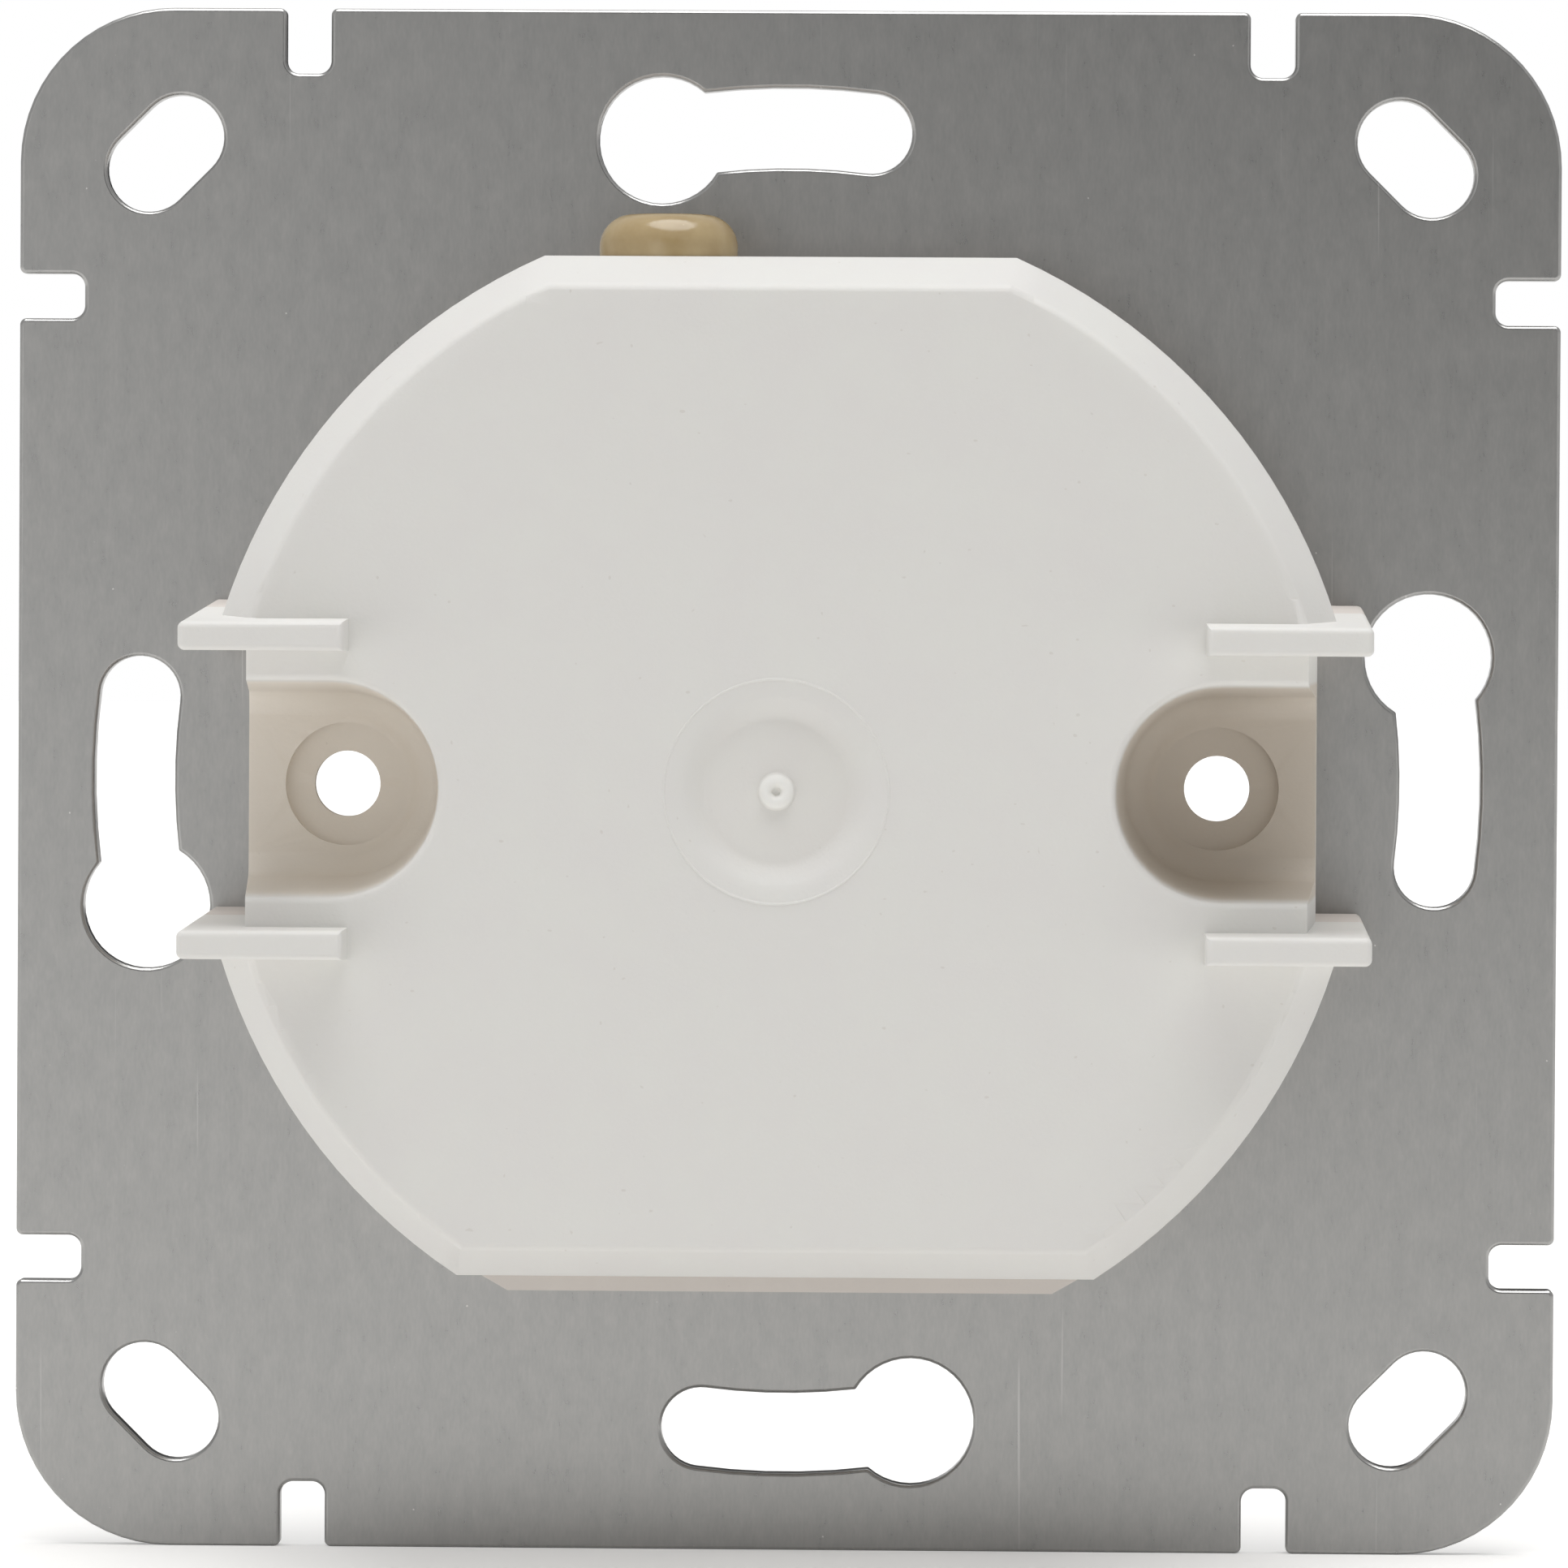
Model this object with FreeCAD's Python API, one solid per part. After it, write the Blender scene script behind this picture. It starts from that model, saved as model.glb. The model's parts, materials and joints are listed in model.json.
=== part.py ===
import FreeCAD, Part
import math
import os

from FreeCAD import Vector

# Flush-mount rotary dimmer insert, in millimetres.
# X runs right and Z up as seen from the room, and Y runs from the room into the wall box.
# The origin is on the shaft axis, at the face of the support plate that lies on the wall.

# Support plate, punched from galvanised sheet
plate_rim_width = 3.55
plate_thickness = 1.2
plate_corner_radius = 7.1
plate_edge_break = 0.12
notch_inset = 13.3
notch_width = 2.06
notch_depth = 3.0
notch_corner_radius = 0.6
notch_mouth_radius = 0.3
keyhole_circle_radius = 30.1
keyhole_radius = 2.92
keyhole_angle = 11.26
keyhole_slot_width = 3.7
keyhole_slot_end_angle = 7.2
corner_slot_inset = 6.7
corner_slot_width = 3.9
corner_slot_length = 6.0

# How far tools that cut or trim reach past the surface they pass through
overrun = 1.0

# Housing, a base against the plate and a drafted cover behind it
base_lip = 1.35
cover_draft = 0.25
base_draft = 0.2
cover_wall = 1.5
base_wall = 1.6
base_front_wall = 1.6
bevel_width = 1.4
bevel_depth = 3.0
bevel_edge_radius = 1.0
cavity_bevel_lead = 0.5
rear_edge_radius = 0.5
side_flat_inset = 1.65
side_flat_draft = 0.8

# Claw guides, two fins on each side of each claw pocket
fin_height = 4.0
fin_root_inset = 6.95
fin_reach = 0.25
fin_side_draft = 0.5
fin_setback = 1.33
fin_tip_thickness = 1.25
fin_inner_draft = 0.17
fin_outer_draft = 0.9
fin_edge_radius = 0.3

# Claw pockets, open to the side and to the rear
claw_inset = 6.15
claw_hole_radius = 1.48
claw_passage_radius = 2.5
claw_tube_radius = 3.9
pocket_floor_thickness = 1.2
pocket_rim_radius = 4.77
pocket_floor_radius = 4.1
pocket_cove_radius = 1.1
pocket_wall = 1.3
pocket_rim_edge_radius = 0.3
recess_radius = 2.77
recess_depth = 0.5

# Moulding gate in the middle of the rear face
dimple_rim_radius = 5.0
dimple_floor_radius = 3.4
dimple_depth = 0.45
gate_radius = 0.7
gate_height = 0.25
gate_pit_radius = 0.2

# Screws that hold base and cover to the plate
housing_screw_inset = 8.25
housing_screw_z = 12.2
housing_screw_radius = 1.25
housing_screw_end_y = 16.0
housing_screw_head_radius = 2.4
housing_screw_head_height = 1.3
housing_screw_head_rounding = 0.65
cover_boss_radius = 2.6
base_boss_radius = 2.8
thread_clearance = 0.02
driver_slot_width = 0.7
driver_slot_depth = 0.6
screw_hole_clearance = 0.15
screw_end_gap = 0.5

# Threaded bushing, with its lock washer and nut in front of the plate
bushing_thread_radius = 5.0
bushing_length = 8.0
bushing_flange_radius = 6.5
bushing_flange_thickness = 0.8
bushing_tail_radius = 4.0
bushing_tail_length = 0.4
bushing_chamfer = 0.5
bushing_hole_clearance = 0.1
washer_radius = 7.6
washer_thickness = 0.6
washer_teeth = 12
washer_notch_width = 1.0
washer_notch_depth = 1.1
nut_across_flats = 14.0
nut_thickness = 2.5
nut_chamfer = 0.5

# Shaft, round in the bushing and for the push-on knob, flattened for the rotor
shaft_radius = 3.0
shaft_running_clearance = 0.03
shaft_shoulder_gap = 0.75
knob_radius = 2.0
knob_length = 10.0
knob_chamfer = 0.3
rotor_flat_height = 2.2
rotor_flat_lead = 0.1
collar_radius = 3.9
collar_thickness = 0.45
collar_clearance = 0.4
push_travel = 1.6
clip_radius = 4.4
clip_thickness = 0.6
clip_groove_depth = 0.4
clip_opening = 2.4

# Potentiometer behind the plate
track_board_thickness = 1.0
pot_radius = 10.0
pot_rear_gap = 0.3
pot_wall = 0.8
pot_tongue_half_width = 4.5
pot_tongue_length = 1.8
pot_pin_spacing = 3.0
pot_pin_width = 0.8
pot_pin_depth = 0.6
pot_pin_inset = 0.3
pot_window_clearance = 0.3
rotor_front_gap = 0.1
rotor_hub_radius = 4.9
rotor_hub_length = 2.7
rotor_disc_front = 1.0
rotor_disc_thickness = 1.2
rotor_lug_height = 1.1
rotor_lug_half_angle = 12.0
rotor_radial_gap = 0.3
stop_half_angle = 15.0
wiper_margin = 0.2
wiper_thickness = 0.3
wiper_half_angle = 150.0
wiper_pad_radius = 0.6
wiper_pad_angles = (60.0, 120.0)
contact_gap = 0.05

# Push switch behind the potentiometer
switch_half_width = 6.5
switch_top = 3.4
switch_bottom = 9.6
switch_wall = 0.8
switch_front_gap = 0.8
switch_lid_thickness = 0.8
plunger_radius = 1.8
plunger_clearance = 0.05
plunger_guide_length = 1.3
plunger_carrier_thickness = 0.75
plunger_carrier_half_width = 3.0
plunger_carrier_top = 2.4
plunger_carrier_bottom = 8.4
bridge_half_width = 4.6
bridge_thickness = 0.4
bridge_top = 5.2
bridge_bottom = 8.2
contact_x = 3.6
contact_pad_radius = 0.9
contact_pad_thickness = 0.5
contact_strip_thickness = 0.5
contact_strip_half_width = 0.8
contact_leg_gap = 0.35
contact_lid_gap = 0.65
contact_slot_clearance = 0.1
spring_radius = 2.0
spring_wire_radius = 0.25
spring_turns = 4
spring_end_gap = 0.05

# Circuit board between base and cover
board_gap = 0.4
board_thickness = 1.6
board_edge_gap = 0.5
board_cutout_gap = 0.3
board_post_radius = 1.4
board_posts = ((-13.5, 16.5), (12.6, 17.4), (-14.3, -15.0), (14.3, -15.0))

# Semiconductor switch, clamped through an insulating pad to the plate
triac_left = -9.6
triac_length = 15.4
triac_pot_gap = 1.2
triac_room = 1.0
triac_width = 10.0
triac_body_length = 9.0
triac_tab_thickness = 1.3
triac_body_thickness = 4.4
triac_hole_inset = 2.9
triac_hole_radius = 1.85
triac_lead_length = 2.2
triac_lead_spacing = 2.54
triac_lead_width = 0.8
triac_lead_thickness = 0.5
triac_pad_thickness = 0.3
triac_pad_margin = 0.3
triac_window_margin = 0.4
triac_screw_radius = 1.5
triac_screw_head_radius = 2.7
triac_screw_head_height = 1.2
triac_screw_head_rounding = 0.6
triac_screw_tip = 0.4
triac_nut_across_flats = 5.5
triac_nut_thickness = 2.4
triac_nut_chamfer = 0.25

# Parts on the rear side of the board
choke_x = -7.5
choke_room = 1.95
choke_core_radius = 2.4
choke_core_length = 15.0
choke_winding_radius = 4.0
choke_winding_length = 11.6
choke_winding_gap = 0.02
choke_lift = 0.05
film_box_half_width = 9.0
film_box_wall_gap = 0.85
film_box_rear_room = 0.7
film_box_leg_gap = 0.75
film_box_depth = 8.3
film_box_edge_radius = 0.5
timing_box_gap = 1.65
timing_box_z = (12.0, 15.6)
timing_box_width = 4.9
timing_box_thickness = 2.4
timing_box_depth = 6.4
timing_box_edge_radius = 0.25
diac_gap = 2.4
diac_z = -15.2
diac_radius = 0.95
diac_length = 4.0
resistor_radius = 1.15
resistor_length = 6.2
resistor_gap = 1.08
upper_resistor_x = (13.2, -15.6)
lower_resistor_z = -14.6
lead_radius = 0.3
lead_reach = 1.2
lead_bend_radius = 0.6
lead_height = 0.35

# Fuse in its pull-out carrier, upright in the top wall of the cover
fuse_x = 5.05
fuse_length = 20.0
fuse_cap_radius = 2.6
fuse_cap_length = 5.0
fuse_cap_wall = 0.2
fuse_glass_radius = 2.35
fuse_glass_wall = 0.5
fuse_wire_radius = 0.15
carrier_radius = 3.08
carrier_dome_height = 1.6
carrier_dome_rounding = 1.45
carrier_rise = 0.35
carrier_skirt = 3.1
carrier_crown = 0.05
carrier_cap_clearance = 0.03
carrier_running_clearance = 0.07
chimney_wall = 0.9
chimney_board_gap = 0.15
chimney_ledge = 0.4
clip_leaf_gap = 0.1
clip_leaf_thickness = 0.4
clip_leaf_height = 6.0
upper_clip_length = 1.4
lower_clip_length = 3.6

# Rising cage terminals along the lower edge
terminal_spacing = 8.5
terminal_count = 3
terminal_pot_gap = 2.2
terminal_side_room = 1.66
terminal_end_room = 1.8
terminal_travel = 1.8
terminal_screw_radius = 1.7
terminal_thread_clearance = 0.05
terminal_head_radius = 2.7
terminal_head_front = 0.1
terminal_head_height = 1.4
terminal_head_clearance = 0.2
driver_hole_radius = 2.0
cage_half_width = 3.2
cage_length = 5.6
cage_wall = 0.8
cage_thread_wall = 1.2
cage_space = 3.6
cage_head_gap = 0.2
cage_board_gap = 0.3
tab_thickness = 0.8
tab_gap = 0.25
tab_half_width = 2.2
tab_inner_end = 1.6
screw_tip_gap = 0.05
wire_hole_radius = 1.2
partition_thickness = 0.9
partition_overhang = 0.5

# Places and sizes that follow from the ones above, first along the shaft
track_front_y = bushing_flange_thickness
track_rear_y = track_front_y + track_board_thickness
bushing_tail_end = track_rear_y + bushing_tail_length
rotor_front_y = bushing_tail_end + rotor_front_gap
rotor_disc_y = rotor_front_y + rotor_disc_front
rotor_rear_y = rotor_front_y + rotor_hub_length
rotor_flat_start_y = rotor_front_y - push_travel - rotor_flat_lead
collar_front_y = rotor_rear_y + contact_gap
shaft_rear_y = collar_front_y + collar_thickness
collar_hole_radius = collar_radius + collar_clearance
pot_rear_y = shaft_rear_y + pot_rear_gap + pot_wall
clip_rear_y = -bushing_length - push_travel - contact_gap
shaft_shoulder_y = clip_rear_y - clip_thickness - shaft_shoulder_gap
knob_end_y = shaft_shoulder_y - knob_length
plunger_guide_y = shaft_rear_y + push_travel + switch_front_gap
switch_guide_y = plunger_guide_y + plunger_guide_length
carrier_front_y = switch_guide_y + contact_gap
carrier_rear_y = carrier_front_y + plunger_carrier_thickness
bridge_rear_y = carrier_rear_y + bridge_thickness
contact_front_y = bridge_rear_y + push_travel + contact_gap
strip_front_y = contact_front_y + contact_pad_thickness
strip_rear_y = strip_front_y + contact_strip_thickness
switch_lid_y = strip_rear_y + contact_lid_gap

# Radii in the potentiometer
rotor_lug_radius = pot_radius - pot_wall - rotor_radial_gap
rotor_disc_radius = rotor_lug_radius - rotor_lug_height
stop_inner_radius = rotor_disc_radius + rotor_radial_gap
wiper_inner_radius = rotor_hub_radius + wiper_margin
wiper_outer_radius = rotor_disc_radius - wiper_margin
pot_tongue_reach = pot_radius + pot_tongue_length

# Terminals, below the potentiometer
terminal_z = -(pot_tongue_reach + terminal_pot_gap + terminal_head_radius)
terminal_low_z = terminal_z - cage_length / 2
terminal_places = [(i - (terminal_count - 1) / 2) * terminal_spacing for i in range(terminal_count)]
terminal_names = ["left", "middle", "right"]
terminal_head_rear = terminal_head_front + terminal_head_height
cage_front_y = terminal_head_rear + cage_head_gap + terminal_travel
cage_inner_front = cage_front_y + cage_thread_wall
cage_inner_rear = cage_inner_front + cage_space
cage_rear_y = cage_inner_rear + cage_wall
tab_front_y = cage_inner_front + tab_gap
tab_rear_y = tab_front_y + tab_thickness
wire_y = (tab_rear_y + cage_inner_rear) / 2
partition_end_z = terminal_z + cage_length / 2 + partition_overhang

# Semiconductor switch, above the potentiometer
triac_low = pot_radius + triac_pot_gap
triac_tab_y = triac_pad_thickness
triac_hole_x = triac_left + triac_hole_inset
triac_hole_z = triac_low + triac_width / 2

# Housing round them, with room for the board and its parts
board_front_y = cage_rear_y + cage_board_gap
board_rear_y = board_front_y + board_thickness
seam_y = board_front_y - board_gap
cavity_rear_y = board_rear_y + film_box_depth + film_box_rear_room
cover_rear_y = cavity_rear_y + cover_wall
bevel_y = cover_rear_y - bevel_depth
terminal_reach = math.hypot(terminal_places[-1] + cage_half_width, terminal_low_z)
seam_radius = terminal_reach + terminal_side_room + base_wall
housing_radius = seam_radius - cover_draft
seam_top = triac_low + triac_width + triac_room + base_wall
housing_top = seam_top - cover_draft
base_bottom = terminal_end_room + base_wall - terminal_low_z
cover_bottom = base_bottom - base_lip
side_flat_seam = housing_radius - side_flat_inset
side_flat_rear = side_flat_seam - side_flat_draft
housing_screw_x = housing_radius - housing_screw_inset

# Claw pockets and fins
claw_x = housing_radius - claw_inset
pocket_floor_y = seam_y + pocket_floor_thickness
fin_tip_y = cover_rear_y + fin_height
fin_root_x = housing_radius - fin_root_inset
fin_tip_x = housing_radius + fin_reach
fin_foot_x = fin_tip_x + fin_side_draft
fin_inner_tip = pocket_rim_radius + fin_setback
fin_inner_foot = fin_inner_tip - fin_inner_draft
fin_outer_tip = fin_inner_tip + fin_tip_thickness
fin_outer_foot = fin_outer_tip + fin_outer_draft

# Plate round the keyholes
plate_size = 2 * (keyhole_circle_radius + keyhole_slot_width / 2 + plate_rim_width)
notch_offset = plate_size / 2 - notch_inset
corner_slot_offset = plate_size / 2 - corner_slot_inset

# Parts on the board
choke_z = housing_top - cover_wall - choke_room - choke_core_length / 2
film_box_low = -(cover_bottom - cover_wall - film_box_wall_gap)
film_box_high = -(switch_bottom + contact_leg_gap + contact_strip_thickness + film_box_leg_gap)
timing_box_high = timing_box_z[-1] + timing_box_thickness
timing_box_right = math.sqrt((housing_radius - cover_wall) ** 2 - timing_box_high ** 2) - timing_box_gap
diac_x = -(film_box_half_width + diac_gap)
upper_resistor_z = pocket_rim_radius + pocket_wall + resistor_radius + resistor_gap
resistor_spots = [(x, upper_resistor_z, 0) for x in upper_resistor_x]
resistor_spots.append((-diac_x, lower_resistor_z, 90))

# Fuse holder
chimney_radius = carrier_radius + carrier_running_clearance
fuse_y = board_rear_y + chimney_radius + chimney_wall + chimney_board_gap
fuse_top_z = housing_top + carrier_rise
fuse_low_z = fuse_top_z - fuse_length
chimney_low_z = fuse_top_z - carrier_skirt - chimney_ledge


def cylinder(radius, x, z, y0, y1):
    return Part.makeCylinder(radius, y1 - y0, Vector(x, y0, z), Vector(0, 1, 0))


def upright(radius, x, y, z0, z1):
    return Part.makeCylinder(radius, z1 - z0, Vector(x, y, z0), Vector(0, 0, 1))


def block(x0, x1, y0, y1, z0, z1):
    return Part.makeBox(x1 - x0, y1 - y0, z1 - z0, Vector(x0, y0, z0))


def prism(points, along):
    wire = Part.makePolygon(points + [points[0]])
    return Part.Face(wire).extrude(along)


def turned_profile(points):
    # a profile of radius and y, turned about the shaft axis
    wire = Part.makePolygon([Vector(r, y, 0) for r, y in points + [points[0]]])
    return Part.Face(wire).revolve(Vector(0, 0, 0), Vector(0, 1, 0), 360)


def rounded_corners(corners):
    # the arcs at corners of point and radius, and where the outline enters and leaves each corner
    arcs = []
    ends = []
    for i, (point, radius) in enumerate(corners):
        if radius == 0:
            ends.append((point, point))
            continue
        back = (corners[i - 1][0] - point).normalize()
        ahead = (corners[(i + 1) % len(corners)][0] - point).normalize()
        half = back.getAngle(ahead) / 2
        reach = radius / math.tan(half)
        inward = (back + ahead).normalize()
        start = point + back * reach
        end = point + ahead * reach
        middle = point + inward * (radius / math.sin(half) - radius)
        arcs.append(Part.Arc(start, middle, end).toShape())
        ends.append((start, end))
    return arcs, ends


def rounded_outline(corners):
    # a closed outline, with an arc at each corner whose radius isn't 0
    edges, ends = rounded_corners(corners)
    for i in range(len(ends)):
        edges.append(Part.makeLine(ends[i - 1][1], ends[i][0]))
    return Part.Wire(Part.__sortEdges__(edges))


def open_path(corners):
    # the same for a path whose ends stay apart
    edges, ends = rounded_corners(corners)
    for i in range(1, len(ends)):
        edges.append(Part.makeLine(ends[i - 1][1], ends[i][0]))
    return Part.Wire(Part.__sortEdges__(edges))


def bent_arc(start, corner, end):
    # the arc that leaves start towards the corner and reaches end from it
    chord = (start + end) * 0.5
    half = (end - start).Length / 2
    bend = math.acos(half / (corner - start).Length)
    towards = (corner - chord).normalize()
    return Part.Arc(start, chord + towards * (half * math.tan(bend / 2)), end).toShape()


def coil_path(radius, start_y, end_y, turns):
    # a helix about the shaft axis, as two arcs for each quarter turn
    rise = (end_y - start_y) / turns / (2 * math.pi)
    places = []
    for i in range(4 * turns + 1):
        angle = math.pi / 2 * i
        place = Vector(radius * math.cos(angle), start_y + rise * angle, radius * math.sin(angle))
        heading = Vector(-radius * math.sin(angle), rise, radius * math.cos(angle)).normalize()
        places.append((place, heading))
    edges = []
    for (here, out), (there, into) in zip(places, places[1:]):
        span = there - here
        along = span.dot(out + into)
        spread = 2 - 2 * out.dot(into)
        reach = (math.sqrt(along ** 2 + span.dot(span) * spread) - along) / spread
        first = here + out * reach
        second = there - into * reach
        joint = (first + second) * 0.5
        edges.append(bent_arc(here, first, joint))
        edges.append(bent_arc(joint, second, there))
    return Part.Wire(edges), places[0]


def turned_outline(corners, x=0.0):
    # corners of radius, y and rounding, turned about an axis along Y at x
    wire = rounded_outline([(Vector(r, y, 0), rounding) for r, y, rounding in corners])
    return moved(Part.Face(wire).revolve(Vector(0, 0, 0), Vector(0, 1, 0), 360), x, 0, 0)


def moved(shape, x, y, z):
    copy = shape.copy()
    copy.translate(Vector(x, y, z))
    return copy


def turned(shape, angle, x=0.0, z=0.0):
    copy = shape.copy()
    copy.rotate(Vector(x, 0, z), Vector(0, 1, 0), angle)
    return copy


def mirrored_x(shape):
    return shape.mirror(Vector(0, 0, 0), Vector(1, 0, 0))


def mirrored_z(shape):
    return shape.mirror(Vector(0, 0, 0), Vector(0, 0, 1))


def joined(shapes):
    return shapes[0].multiFuse(shapes[1:]).removeSplitter()


def edges_along_y(shape):
    found = []
    for edge in shape.Edges:
        ends = [vertex.Point for vertex in edge.Vertexes]
        if len(ends) == 2 and abs(ends[0].y - ends[1].y) > 0.9 * (ends[0] - ends[1]).Length:
            found.append(edge)
    return found


def edges_at_y(shape, y):
    found = []
    for edge in shape.Edges:
        box = edge.BoundBox
        if abs(box.YMin - y) < 0.001 and abs(box.YMax - y) < 0.001:
            found.append(edge)
    return found


def hexagon(across_flats, x, z, y0, y1, chamfer):
    corner = across_flats / math.sqrt(3)
    angles = [math.radians(60 * i) for i in range(6)]
    points = [Vector(x + corner * math.cos(a), y0, z + corner * math.sin(a)) for a in angles]
    body = prism(points, Vector(0, y1 - y0, 0))
    rim = across_flats / 2 - chamfer / 2
    profile = [(0, 0), (rim, 0), (rim + 2 * chamfer, chamfer),
               (rim + 2 * chamfer, y1 - y0 - chamfer), (rim, y1 - y0), (0, y1 - y0)]
    return body.common(moved(turned_profile(profile), x, y0, z))


def polar(radius, degrees, y):
    angle = math.radians(degrees)
    return Vector(radius * math.cos(angle), y, radius * math.sin(angle))


def arc_slot(radius, width, start, end, y0, y1):
    # a slot along a circle about the shaft axis, with round ends
    outer = radius + width / 2
    inner = radius - width / 2
    middle = (start + end) / 2
    half_turn = math.degrees(width / 2 / radius)
    edges = [
        Part.Arc(polar(outer, start, y0), polar(outer, middle, y0), polar(outer, end, y0)),
        Part.Arc(polar(outer, end, y0), polar(radius, end + half_turn, y0), polar(inner, end, y0)),
        Part.Arc(polar(inner, end, y0), polar(inner, middle, y0), polar(inner, start, y0)),
        Part.Arc(polar(inner, start, y0), polar(radius, start - half_turn, y0), polar(outer, start, y0)),
    ]
    wire = Part.Wire([edge.toShape() for edge in edges])
    return Part.Face(wire).extrude(Vector(0, y1 - y0, 0))


def straight_slot(x, z, length, width, angle, y0, y1):
    reach = (length - width) / 2
    body = block(-reach, reach, y0, y1, -width / 2, width / 2)
    body = joined([body, cylinder(width / 2, -reach, 0, y0, y1), cylinder(width / 2, reach, 0, y0, y1)])
    return moved(turned(body, angle), x, 0, z)


def sector(inner, outer, centre, half_angle, y0, y1):
    # part of a ring about the shaft axis, between two radii and two angles
    low = centre - half_angle
    high = centre + half_angle
    edges = [
        Part.Arc(polar(outer, low, y0), polar(outer, centre, y0), polar(outer, high, y0)).toShape(),
        Part.makeLine(polar(outer, high, y0), polar(inner, high, y0)),
        Part.Arc(polar(inner, high, y0), polar(inner, centre, y0), polar(inner, low, y0)).toShape(),
        Part.makeLine(polar(inner, low, y0), polar(outer, low, y0)),
    ]
    return Part.Face(Part.Wire(edges)).extrude(Vector(0, y1 - y0, 0))


def housing_form(stations):
    # a round body with flats above and below, through stations of y, radius, top, bottom and rounding
    first = stations[0][0]
    last = stations[-1][0]
    width = max(station[1] for station in stations) + overrun
    profile = [(0, first, 0)]
    upper = []
    lower = []
    for y, radius, top, bottom, rounding in stations:
        profile.append((radius, y, rounding))
        upper.append((Vector(-width, y, top), rounding))
        lower.insert(0, (Vector(-width, y, -bottom), rounding))
    profile.append((0, last, 0))
    slab = Part.Face(rounded_outline(upper + lower)).extrude(Vector(2 * width, 0, 0))
    return turned_outline(profile).common(slab)


def side_flats(x_front, x_rear, y0, y1):
    # what is cut off the round body between the fins, on both sides
    far = fin_foot_x + overrun
    depth = (fin_inner_tip + fin_outer_tip) / 2
    points = [Vector(x_front, y0, -depth), Vector(far, y0, -depth),
              Vector(far, y1, -depth), Vector(x_rear, y1, -depth)]
    right = prism(points, Vector(0, 0, 2 * depth))
    return [right, mirrored_x(right)]


def fins(y0, y1):
    fin = Part.makeWedge(fin_root_x, 0, fin_inner_foot, fin_inner_tip, fin_root_x,
                         fin_foot_x, fin_tip_y, fin_outer_foot, fin_outer_tip, fin_tip_x)
    outer_edges = [edge for edge in edges_along_y(fin) if edge.CenterOfMass.x > (fin_root_x + fin_tip_x) / 2]
    fin = fin.makeFillet(fin_edge_radius, edges_at_y(fin, fin_tip_y) + outer_edges)
    fin = fin.common(block(0, fin_foot_x, y0, y1, 0, fin_outer_foot))
    pair = [fin, mirrored_z(fin)]
    return pair + [mirrored_x(each) for each in pair]


def pocket_tool():
    # the claw pocket on the right, a round end that runs out through the side
    lip = pocket_rim_radius + 2 * pocket_rim_edge_radius
    over = cover_rear_y + pocket_rim_edge_radius
    half = [
        (pocket_floor_radius, pocket_floor_y, pocket_cove_radius),
        (pocket_rim_radius, cover_rear_y, pocket_rim_edge_radius),
        (lip, cover_rear_y, 0),
        (lip, over, 0),
    ]
    end = turned_outline([(0, pocket_floor_y, 0)] + half + [(0, over, 0)], claw_x)
    right = [(Vector(claw_x, y, z), rounding) for z, y, rounding in half]
    left = [(Vector(claw_x, y, -z), rounding) for z, y, rounding in reversed(half)]
    run = Part.Face(rounded_outline(right + left)).extrude(Vector(fin_foot_x + overrun - claw_x, 0, 0))
    return joined([end, run])


def pocket_boss():
    # the wall round the pocket, inside the cover
    radius = pocket_rim_radius + pocket_wall
    end = cylinder(radius, claw_x, 0, seam_y, cover_rear_y)
    run = block(claw_x, seam_radius + overrun, seam_y, cover_rear_y, -radius, radius)
    return joined([end, run])


def screw_places():
    return [(sx * housing_screw_x, sz * housing_screw_z) for sx in (-1, 1) for sz in (-1, 1)]


def support_plate():
    half = plate_size / 2
    front = -plate_thickness
    plate = block(-half, half, front, 0, -half, half)
    plate = plate.makeFillet(plate_corner_radius, edges_along_y(plate))
    tools = []
    for quarter in range(4):
        for side in (-1, 1):
            x = side * notch_offset
            notch = block(x - notch_width / 2, x + notch_width / 2, front, 0,
                          half - notch_depth, half + overrun)
            low = [edge for edge in edges_along_y(notch) if edge.CenterOfMass.z < half]
            tools.append(turned(notch.makeFillet(notch_corner_radius, low), 90 * quarter))
        round_part = polar(keyhole_circle_radius, 90 - keyhole_angle, 0)
        tools.append(turned(cylinder(keyhole_radius, round_part.x, round_part.z, front, 0), 90 * quarter))
        run = arc_slot(keyhole_circle_radius, keyhole_slot_width,
                       90 - keyhole_angle, 90 + keyhole_slot_end_angle, front, 0)
        tools.append(turned(run, 90 * quarter))
        slot = straight_slot(corner_slot_offset, corner_slot_offset,
                             corner_slot_length, corner_slot_width, 45, front, 0)
        tools.append(turned(slot, 90 * quarter))
    plate = plate.cut(tools).removeSplitter()
    mouths = []
    for edge in edges_along_y(plate):
        place = edge.CenterOfMass
        along = min(abs(place.x), abs(place.z))
        at_rim = max(abs(place.x), abs(place.z)) > half - 0.001
        if at_rim and abs(along - notch_offset) < notch_width:
            mouths.append(edge)
    plate = plate.makeFillet(notch_mouth_radius, mouths)
    plate = plate.makeChamfer(plate_edge_break, edges_at_y(plate, 0) + edges_at_y(plate, front))
    holes = [cylinder(bushing_thread_radius + bushing_hole_clearance, 0, 0, front, 0)]
    for side in (-1, 1):
        holes.append(cylinder(claw_passage_radius, side * claw_x, 0, front, 0))
    for x, z in screw_places():
        holes.append(cylinder(housing_screw_radius + screw_hole_clearance, x, z, front, 0))
    for x in terminal_places:
        holes.append(cylinder(driver_hole_radius, x, terminal_z, front, 0))
    holes.append(cylinder(triac_screw_radius + screw_hole_clearance, triac_hole_x, triac_hole_z, front, 0))
    return plate.cut(holes)


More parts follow.
